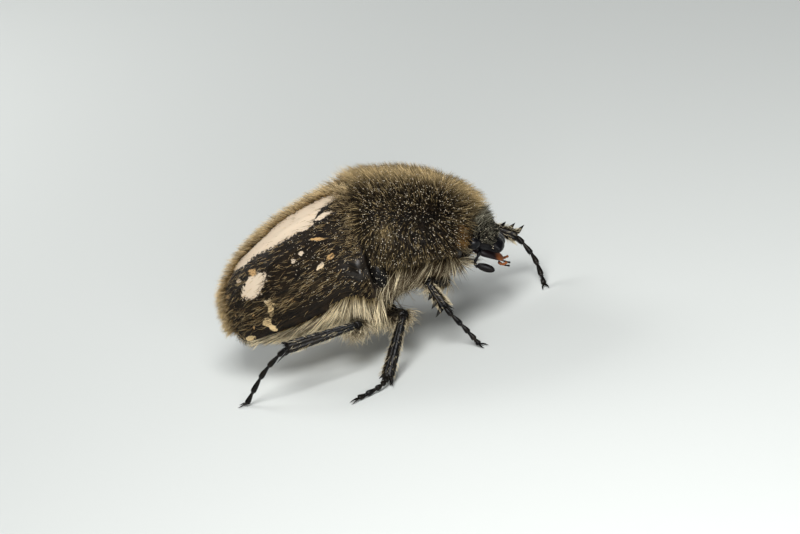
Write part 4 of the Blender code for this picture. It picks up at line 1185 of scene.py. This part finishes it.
brow_style = dict(
    lie=(0.55, 0.0, 0.3), lift=lambda u, v: 0.7 + 0.15 * near(u, 0.3, 0.2), length=brow_length,
    radius=0.008, bend=0.4, stray=0.12, tuft_stray=0.1,
    tone=lambda u, v: 0.24 * near(u, 0.25, 0.35) * (1.0 - flank(v)) - 0.03, tone_spread=0.06,
    tuft_tone=0.08, glints=0.2, glint=0.5, tufts=18, clump=0.25,
)
neck_style = dict(
    lie=(0.8, 0.0, -0.6), lift=0.5, length=0.5, radius=0.007, bend=0.7, wave=0.12, tone=0.45, tufts=9,
    clump=0.5,
)
brow_look = hair_look(
    "brow_hair",
    ((0.004, 0.004, 0.003, 1.0), (0.08, 0.065, 0.035, 1.0)),
    ((0.012, 0.01, 0.008, 1.0), (0.72, 0.68, 0.5, 1.0)),
)
neck_look = hair_look(
    "neck_hair",
    ((0.02, 0.01, 0.004, 1.0), (0.2, 0.1, 0.03, 1.0)),
    ((0.12, 0.055, 0.018, 1.0), (0.7, 0.4, 0.13, 1.0)),
)
brow_coat = coat("brow_coat", [hairs(brow_skin, HEAD_MIDDLE, BROW_HAIRS, 61, **brow_style)], brow_look)
neck_hairs = [hairs(neck_skin(side), NECK_MIDDLE, NECK_HAIRS, 63, **neck_style) for side in SIDES.values()]
neck_coat = coat("neck_coat", neck_hairs, neck_look)
for hair_piece in (brow_coat, neck_coat):
    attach(hair_piece, "root")

# Specks
# Fine pale specks among the hair tips of the pronotum and the head, on the right shoulder and on the side
# plate in front of it: partly pale dust that clings there, partly painted glints of the hair tips. It is one
# piece of eight-sided grains.
SPECK_COUNT = 1000
SPECK_RADIUS = 0.017
# Pale grains: partly dust, partly painted glints of hair tips.
speck_look = Look("pale_specks", Roughness=0.7)
speck_shade = speck_look.mix(speck_look.noise(0.3), (0.55, 0.45, 0.28, 1.0), (0.72, 0.66, 0.56, 1.0))
speck_look.feed("Base Color", speck_shade)


def grains(skin, inside, count, seed, low, high):
    """Eight-sided grains strewn over a skin, each at a random height in the coat between low and high."""
    chance = np.random.default_rng(seed)
    u, v = roots_on(skin, count, chance)
    middles = skin(u, v) + normals(skin, u, v, inside) * chance.uniform(low, high, (count, 1))
    size = SPECK_RADIUS * chance.uniform(0.5, 1.4, (count, 1, 1))
    corners = np.array([(1, 0, 0), (0, 1, 0), (-1, 0, 0), (0, -1, 0), (0, 0, 1), (0, 0, -1)], float)
    sides = np.array([(k, (k + 1) % 4, 4) for k in range(4)] + [((k + 1) % 4, k, 5) for k in range(4)])
    points = middles[:, None] + size * corners * chance.uniform(0.7, 1.3, (count, 6, 1))
    faces = np.arange(count)[:, None, None] * 6 + sides
    return points.reshape(-1, 3), [faces.reshape(-1, 3)]


def together(bodies):
    """Several closed bodies as the points and faces of one piece."""
    points, faces, start = [], [], 0
    for body_points, body_faces in bodies:
        points.append(body_points)
        faces += [block + start for block in body_faces]
        start += len(body_points)
    return np.concatenate(points), faces


def shoulder_skin(u, v):
    """Front of the right wing case."""
    return elytron_skin(0.01 + 0.3 * u**2, 0.3 + 0.65 * v) * MIRROR


def side_plate_skin(u, v):
    """Outer face of the right side plate."""
    ways = ball_point(0.2 + (math.pi - 0.4) * u, -math.pi * (0.5 + v))
    return SIDE_PLATE_CENTRE * MIRROR + SIDE_PLATE_RADII * ways


dust_and_glint_specks = together([
    grains(mane_skins(-1.0), PRONOTUM_MIDDLE, SPECK_COUNT, 301, 0.15, 0.62),
    grains(mane_skins(1.0), PRONOTUM_MIDDLE, SPECK_COUNT // 2, 302, 0.15, 0.62),
    grains(shoulder_skin, WING_MIDDLE * MIRROR, SPECK_COUNT // 4, 303, 0.02, 0.2),
    grains(side_plate_skin, SIDE_PLATE_CENTRE * MIRROR, SPECK_COUNT // 25, 304, 0.0, 0.12),
    grains(brow_skin, HEAD_MIDDLE, SPECK_COUNT // 8, 305, 0.05, 0.45),
])
specks = piece("pale_specks", *dust_and_glint_specks, speck_look)
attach(specks, "root")

# Eyes
# Polished black domes of fine facets, half sunk in the sides of the head. Each is a ball whose poles lie
# along X, with the facets in its relief.
EYE_RADIUS = 0.33
eye_look = Look("eye_black", Base_Color=(0.003, 0.003, 0.004, 1.0), Roughness=0.1, Specular_IOR_Level=0.2)
eye_look.bump(eye_look.pits(0.028).step(0.1, 0.6), 0.0012)
for side_name, side in SIDES.items():
    eye = piece("eye_ball_" + side_name, *loft(EYE_CENTRE * (1.0, side, 1.0) + EYE_RADIUS * ball), eye_look)
    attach(eye, "root")
    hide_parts("eye_" + side_name)

# Mouthparts
# A chin under the head that ends in an orange-brown lip, with an orange pair of small jointed palps and a
# dark pair below it. The chin and the rear of the lip are near black, painted shade under the head where
# hair also hides them. All are tubes swept along short paths, and the palps swell in each joint.
MOUTH_PATH = np.array([(10.75, 0.0, 3.05), (11.2, 0.0, 2.66), (11.55, 0.0, 2.32), (11.83, 0.0, 2.04)])
MOUTH_HALF_WIDTHS = (0.5, 0.5, 0.36, 0.16)
MOUTH_HALF_DEPTHS = (0.26, 0.24, 0.14, 0.05)
PALPS = (
    ((11.6, 0.26, 2.08), (11.74, 0.33, 1.98), (11.88, 0.34, 1.98), (11.98, 0.31, 2.02)),
    ((11.6, 0.12, 2.08), (11.74, 0.17, 1.92), (11.88, 0.18, 1.82), (12.02, 0.16, 1.76)),
)
PALP_RADII = (0.06, 0.045)
LIP_X = 11.58


def smooth_path(points, count):
    """Path of so many points through a few joints, by the cubic that passes each one rounded."""
    points = np.asarray(points, float)
    held = np.concatenate([points[:1], points, points[-1:]])
    t = np.linspace(0.0, len(points) - 1.0, count)
    k = np.minimum(t.astype(int), len(points) - 2)
    s = (t - k)[:, None]
    a, b, c, d = held[k], held[k + 1], held[k + 2], held[k + 3]
    bend = (2 * a - 5 * b + 4 * c - d) * s**2 + (3 * b - a - 3 * c + d) * s**3
    return 0.5 * (2 * b + (c - a) * s + bend)


def tube(path, half_widths, half_depths, sides=16, upward=(0.0, 0.0, 1.0)):
    """Rounded bar along a path, an ellipse at each point with its own half width and half depth."""
    ahead = unit(np.gradient(path, axis=0))
    across = unit(np.cross(ahead, upward))
    deep = np.cross(across, ahead)
    turn = np.arange(sides) * 2.0 * math.pi / sides
    wide = np.asarray(half_widths)[:, None, None] * across[:, None] * np.cos(turn)[None, :, None]
    high = np.asarray(half_depths)[:, None, None] * deep[:, None] * np.sin(turn)[None, :, None]
    return loft(path[:, None] + wide + high)


def beads(count, steps, waist, shoulder=0.8):
    """Radius along a row of joints: each swells from its waist to its shoulder, then closes quickly."""
    share = np.linspace(0.0, count, steps) % 1.0
    swell = waist + (1.0 - waist) * np.sin(limited(share / shoulder) * math.pi / 2)
    close = limited((1.0 - share) / (1.0 - shoulder)) ** 0.5
    return np.where(share > shoulder, waist * 0.7 + (1.0 - waist * 0.7) * close, swell)


mouth_look = Look("mouth_orange", Specular_IOR_Level=0.2)
orange = mouth_look.mix(mouth_look.noise(0.15), (0.11, 0.025, 0.007, 1.0), (0.31, 0.1, 0.025, 1.0))
# The chin's near black is painted shade under the head; orange shows only at the lip's front.
shade = mouth_look.mix(mouth_look.attribute("orange"), (0.008, 0.004, 0.005, 1.0), orange)
mouth_look.feed("Base Color", shade)
mouth_look.feed("Roughness", mouth_look.noise(0.1) * 0.2 + 0.3)
mouth_look.bump(mouth_look.noise(0.05), 0.01)
steps = np.linspace(0.0, 1.0, 16)
places = np.linspace(0.0, 1.0, len(MOUTH_HALF_WIDTHS))
rounding = np.sqrt(1.0 - (2.0 * steps - 1.0) ** 8)
lip = tube(
    smooth_path(MOUTH_PATH, len(steps)),
    np.interp(steps, places, MOUTH_HALF_WIDTHS) * rounding + 0.01,
    np.interp(steps, places, MOUTH_HALF_DEPTHS) * rounding + 0.01,
    24,
)
mouth_bodies = [lip]
for joints, radius in zip(PALPS, PALP_RADII):
    for side in SIDES.values():
        bulk = radius * beads(3, 30, 0.65)
        mouth_bodies.append(tube(smooth_path(np.array(joints) * (1.0, side, 1.0), 30), bulk, bulk, 10))
mouth_points, mouth_faces = together(mouth_bodies)
# Near black behind LIP_X: painted shade under the head, where hair also hides the lip.
lip_share = limited((mouth_points[:, 0] - LIP_X) / 0.12)
lip_share[-sum(len(palp_points) for palp_points, _ in mouth_bodies[3:]):] = 0.0
mouth = piece("mouth_palps", mouth_points, mouth_faces, mouth_look, {"orange": lip_share})
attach(mouth, "root")
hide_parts("mouthparts")

# Feelers
# Short bent shafts of glossy black beads, each with a club of three leaves laid against each other. The
# shaft is a beaded tube, thickest at its root, and each leaf is a flattened ball.
FEELER_RADIUS = 0.075
FEELER_ROOT_SWELL = 1.25
FEELER_STEPS = 48
FEELER_BEADS = 6
FEELER_JOINTS = (
    (11.2, 0.6, 3.15), (11.08, 0.98, 2.98), (10.84, 1.17, 2.72), (10.86, 1.23, 2.55), (11.0, 1.25, 2.48)
)
CLUB_CENTRE = np.array([11.22, 1.25, 2.38])
CLUB_RADII = np.array([0.4, 0.055, 0.15])
CLUB_DROP = math.radians(34.0)
LEAF_STEP = 0.085
feeler_look = cuticle_look(
    "feeler_black", (0.003, 0.003, 0.004, 1.0), (0.01, 0.008, 0.007, 1.0), 0.05, 0.003, 0.16
)
cosine, sine = math.cos(CLUB_DROP), math.sin(CLUB_DROP)
drop = np.array([(cosine, 0.0, -sine), (0.0, 1.0, 0.0), (sine, 0.0, cosine)])
for side_name, side in SIDES.items():
    path = smooth_path(FEELER_JOINTS, FEELER_STEPS)
    bulk = FEELER_RADIUS * beads(FEELER_BEADS, FEELER_STEPS, 0.7)
    bulk[:FEELER_STEPS // 4] *= FEELER_ROOT_SWELL
    bodies = [tube(path * (1.0, side, 1.0), bulk, bulk, 12)]
    for leaf in (-1.0, 0.0, 1.0):
        flat = ball * CLUB_RADII * (1.0 - 0.06 * abs(leaf), 1.0, 1.0)
        placed = flat @ drop + CLUB_CENTRE + (0.0, leaf * LEAF_STEP, 0.0)
        bodies.append(loft(placed * (1.0, side, 1.0)))
    feeler = piece("feeler_club_" + side_name, *together(bodies), feeler_look)
    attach(feeler, "root")
    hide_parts("feeler_" + side_name)

# Legs
# Six black legs: a stout thigh, a shin that widens to its end with teeth on its outer edge and two spurs,
# and a foot of five small joints with two hooked claws. Every part is a tube along its own axis, and they
# are fixed end to end.
FEMUR_RADIUS = 0.42
FEMUR_FLATNESS = 0.75
FEMUR_BULK = (0.7, 0.95, 1.0, 0.95, 0.9, 0.75, 0.5)
TIBIA_RADIUS = 0.23
TIBIA_FLATNESS = 0.72
TARSUS_RADIUS = 0.125
TARSUS_SEGMENTS = 5
TARSUS_STEPS = 60
CLAW_LENGTH = 0.52
CLAW_RADIUS = 0.045
FOOT_Z = 0.11
FOOT_CLEARANCE = 0.005
SOLID_FEMUR_RADIUS = 0.44
COXA_DROP = GAP + FEMUR_FLATNESS * SOLID_FEMUR_RADIUS
FRONT_COXA_Z = PROSTERNUM_Z - COXA_DROP
COXA_Z = BELLY_Z - COXA_DROP
COXA_ROOT = 0.45
# The joints of each leg from the body to the claws, and the way that the outer edge of its shin faces.
LEGS = {
    "front_right": dict(
        coxa=(9.25, -0.7, FRONT_COXA_Z), knee=(8.82, -2.3, 2.85), ankle=(9.36, -3.0, 1.76),
        arch=(9.99, -3.4, 0.79), foot=(10.42, -3.75, FOOT_Z), outer_edge=(-1.0, -0.2, 0.3),
    ),
    "front_left": dict(
        coxa=(9.25, 0.7, FRONT_COXA_Z), knee=(11.1, 2.45, 2.75), ankle=(12.2, 2.5, 1.89),
        arch=(12.74, 1.9, 0.94), foot=(12.98, 0.9, FOOT_Z), outer_edge=(0.3, 0.5, 1.0),
    ),
    "mid_right": dict(
        coxa=(6.55, -1.0, COXA_Z), knee=(7.62, -3.25, 2.05), ankle=(6.55, -5.5, 0.34),
        arch=(6.2, -5.85, 0.2), foot=(5.3, -6.3, FOOT_Z), outer_edge=(-1.0, 0.0, 0.5),
    ),
    "mid_left": dict(
        coxa=(6.55, 1.0, COXA_Z), knee=(7.7, 3.3, 2.2), ankle=(7.2, 5.3, 0.45),
        arch=(7.0, 5.65, 0.24), foot=(6.3, 6.3, FOOT_Z), outer_edge=(-1.0, 0.0, 0.5),
    ),
    "hind_right": dict(
        coxa=(4.95, -1.1, COXA_Z), knee=(5.66, -3.5, 2.2), ankle=(2.54, -4.3, 2.28),
        arch=(1.3, -4.2, 1.4), foot=(0.1, -4.0, FOOT_Z), outer_edge=(-0.3, 0.0, 1.0),
    ),
    "hind_left": dict(
        coxa=(4.95, 1.1, COXA_Z), knee=(5.4, 3.6, 2.3), ankle=(2.9, 4.4, 1.9),
        arch=(1.9, 4.5, 1.0), foot=(0.9, 4.6, FOOT_Z), outer_edge=(-0.3, 0.0, 1.0),
    ),
}
# The teeth of each shin: their places as shares of its length, and their lengths.
TIBIA_TEETH = {
    "front": ((0.42, 0.34), (0.68, 0.42), (0.95, 0.46)),
    "mid": ((0.55, 0.16),),
    "hind": ((0.55, 0.16),),
}
TOOTH_RADIUS = 0.11
SPUR_LENGTH = {"front": 0.34, "mid": 0.55, "hind": 0.7}
SPUR_RADIUS = 0.045
ANKLE_SPINES = 7
ANKLE_SPINE_SIZE = (0.24, 0.045)
FOOT_SPINE_SIZE = (0.2, 0.022)
OBLIQUE = (0.13, 0.31, 0.94)
leg_look = cuticle_look("leg_black", (0.003, 0.003, 0.003, 1.0), (0.012, 0.009, 0.006, 1.0), 0.1, 0.008, 0.16)
leg_look.feed("Specular IOR Level", 0.12)


def spike(root, way, length, radius, hook=(0.0, 0.0, 0.0)):
    """Tooth, spur or claw: a cone of round section that bends towards its hook."""
    s = np.linspace(0.0, 1.0, 9)[:, None]
    path = root + length * (s * unit(np.asarray(way, float)) + s**2 * np.asarray(hook))
    bulk = radius * (1.0 - s[:, 0] ** 1.4) + 0.004
    path[:, 2] = np.maximum(path[:, 2], LOWEST_Z + bulk)
    return tube(path, bulk, bulk, 10, OBLIQUE)


def leg_axes(leg):
    """Way down the shin, the way that its toothed edge faces, and the way across both."""
    down = unit(np.subtract(leg["ankle"], leg["knee"]))
    edge = unit(np.cross(down, np.cross(leg["outer_edge"], down)))
    return down, edge, np.cross(down, edge)


def shin_section(leg, share):
    """Middle of the shin, and its half width along the toothed edge, at a share of its length."""
    start, end = np.array(leg["knee"]), np.array(leg["ankle"])
    return start + (end - start) * share, TIBIA_RADIUS * (0.62 + 0.5 * share**0.8)


def thigh_bulk(share):
    """Half width of a thigh at a share of its length."""
    return FEMUR_RADIUS * np.interp(share, np.linspace(0.0, 1.0, len(FEMUR_BULK)), FEMUR_BULK)


def thigh(leg):
    """Thigh with its root in the body: an ellipse along the way from coxa to knee."""
    start, end = np.array(leg["coxa"], float), np.array(leg["knee"], float)
    path = np.linspace(start, end, 26)
    share = np.linspace(0.0, 1.0, 26)
    path[:, 2] += COXA_ROOT * limited(1.0 - share / 0.2)
    bulk = thigh_bulk(share)
    return tube(path, bulk, FEMUR_FLATNESS * bulk, 24)


def shin(leg, row_name):
    """Shin with ridged faces, its teeth, and its two spurs beside the ankle, with a ring of spines behind
    them on the middle and hind legs."""
    down, edge, across = leg_axes(leg)
    share = np.linspace(0.0, 1.0, 40)
    middle, wide = shin_section(leg, share[:, None])
    rounding = np.sqrt(limited(1.0 - (2.0 * share[:, None] - 1.0) ** 16))
    wide = wide * (0.35 + 0.65 * rounding)
    turn = np.arange(28) * 2.0 * math.pi / 28
    ridged = 1.0 + 0.14 * np.cos(turn * 6.0)
    aside = np.cos(turn)[None, :, None] * edge + TIBIA_FLATNESS * np.sin(turn)[None, :, None] * across
    rings = middle[:, None] + wide[:, :, None] * ridged[None, :, None] * aside
    bodies = [loft(rings)]
    for place, length in TIBIA_TEETH[row_name]:
        centre, half = shin_section(leg, place)
        bodies.append(spike(centre + edge * half * 0.6, edge + 0.45 * down, length, TOOTH_RADIUS))
    centre, half = shin_section(leg, 0.97)
    for side in (-1.0, 1.0):
        root = centre - edge * half * 0.5 + across * side * half * 0.4
        way = down + 0.25 * side * across - 0.35 * edge
        bodies.append(spike(root, way, SPUR_LENGTH[row_name], SPUR_RADIUS, -0.1 * edge))
    if row_name != "front":
        for turn in np.arange(ANKLE_SPINES) * 2.0 * math.pi / ANKLE_SPINES:
            aside = math.cos(turn) * edge + TIBIA_FLATNESS * math.sin(turn) * across
            bodies.append(spike(centre + aside * half * 0.8, down + 0.6 * aside, *ANKLE_SPINE_SIZE))
    return together(bodies)


def foot(leg):
    """Five joints from the ankle to the floor, a pair of fine spines at each, and two claws that curve
    down onto the floor."""
    path = smooth_path([leg["ankle"], leg["arch"], leg["foot"]], TARSUS_STEPS)
    bulk = TARSUS_RADIUS * beads(TARSUS_SEGMENTS, TARSUS_STEPS, 0.45, 0.86)
    path[:, 2] = np.maximum(path[:, 2], FLOOR_Z + FOOT_CLEARANCE + bulk)
    bodies = [tube(path, bulk, bulk, 14, OBLIQUE)]
    ahead = path[-1] - path[-4]
    ahead[2] = 0.0
    ahead = unit(ahead)
    aside = np.cross(ahead, (0.0, 0.0, 1.0))
    for side in (-1.0, 1.0):
        hook = -0.35 * side * aside - (0.0, 0.0, 0.2)
        bodies.append(spike(path[-1], ahead + 0.75 * side * aside, CLAW_LENGTH, CLAW_RADIUS, hook))
    for joint in range(1, TARSUS_SEGMENTS):
        place = joint * (TARSUS_STEPS - 1) // TARSUS_SEGMENTS
        way = unit(path[place] - path[place - 2])
        for side in (-1.0, 1.0):
            leaning = way + 0.8 * side * aside - (0.0, 0.0, 0.3)
            bodies.append(spike(path[place - 2], leaning, *FOOT_SPINE_SIZE))
    return together(bodies)


for leg_name, leg in LEGS.items():
    row_name = leg_name.split("_")[0]
    for part_name, node, body in (
        ("thigh_", "femur_", thigh(leg)),
        ("shin_", "tibia_", shin(leg, row_name)),
        ("foot_", "tarsus_", foot(leg)),
    ):
        part = piece(part_name + leg_name, *body, leg_look)
        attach(part, "root")
        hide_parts(node + leg_name)

# Coat of the legs
# Long straw-coloured hair hangs from the thighs and hides them, and rows of stiff yellow bristles stand
# along the edges of the shins.
THIGH_HAIRS = {"front": 160, "mid": 420, "hind": 420}
SHIN_HAIRS = 210


def thigh_skin(leg):
    """Sides and underside of a thigh."""
    start, end = np.array(leg["coxa"], float), np.array(leg["knee"], float)
    across = unit(np.cross(end - start, (0.0, 0.0, 1.0)))
    upward = unit(np.cross(across, end - start))

    def skin(u, v):
        share = (0.15 + 0.85 * u)[..., None]
        turn = np.radians(150.0 + 240.0 * v)[..., None]
        aside = across * np.cos(turn) + FEMUR_FLATNESS * upward * np.sin(turn)
        return start + (end - start) * share + thigh_bulk(share) * aside

    return skin, (start + end) / 2


def shin_skin(leg):
    """All round a shin, short of its ends."""
    down, edge, across = leg_axes(leg)

    def skin(u, v):
        share = (0.06 + 0.88 * u)[..., None]
        turn = (v * 2.0 * math.pi)[..., None]
        middle, wide = shin_section(leg, share)
        return middle + wide * 0.95 * (np.cos(turn) * edge + TIBIA_FLATNESS * np.sin(turn) * across)

    return skin, (np.array(leg["knee"]) + np.array(leg["ankle"])) / 2


thigh_style = dict(
    lift=0.3, length=lambda u, v: 1.05 - 0.35 * near(u, 1.0, 0.4), radius=0.01, bend=0.7, wave=0.09,
    tone=lambda u, v: 0.3 - 0.35 * near(u, 1.0, 0.45), glints=0.4, tufts=8, clump=0.1,
)
shin_style = dict(
    lift=0.45, length=0.36, radius=0.008, bend=0.6, wave=0.08, tone=0.55, tufts=8,
    density=lambda u, v: 0.1 + np.abs(np.cos(v * 2.0 * math.pi)) ** 6,
)
leg_hairs = []
for seed, (leg_name, leg) in enumerate(LEGS.items()):
    skin, inside = thigh_skin(leg)
    count = THIGH_HAIRS[leg_name.split("_")[0]]
    lie = 0.8 * unit(np.subtract(leg["knee"], leg["coxa"])) - (0.2, 0.0, 0.7)
    leg_hairs.append(hairs(skin, inside, count, 81 + seed, lie=lie, **thigh_style))
    skin, inside = shin_skin(leg)
    leg_hairs.append(hairs(skin, inside, SHIN_HAIRS, 91 + seed, lie=leg_axes(leg)[0], **shin_style))
legs_coat = coat("legs_coat", leg_hairs, straw_look)
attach(legs_coat, "root")
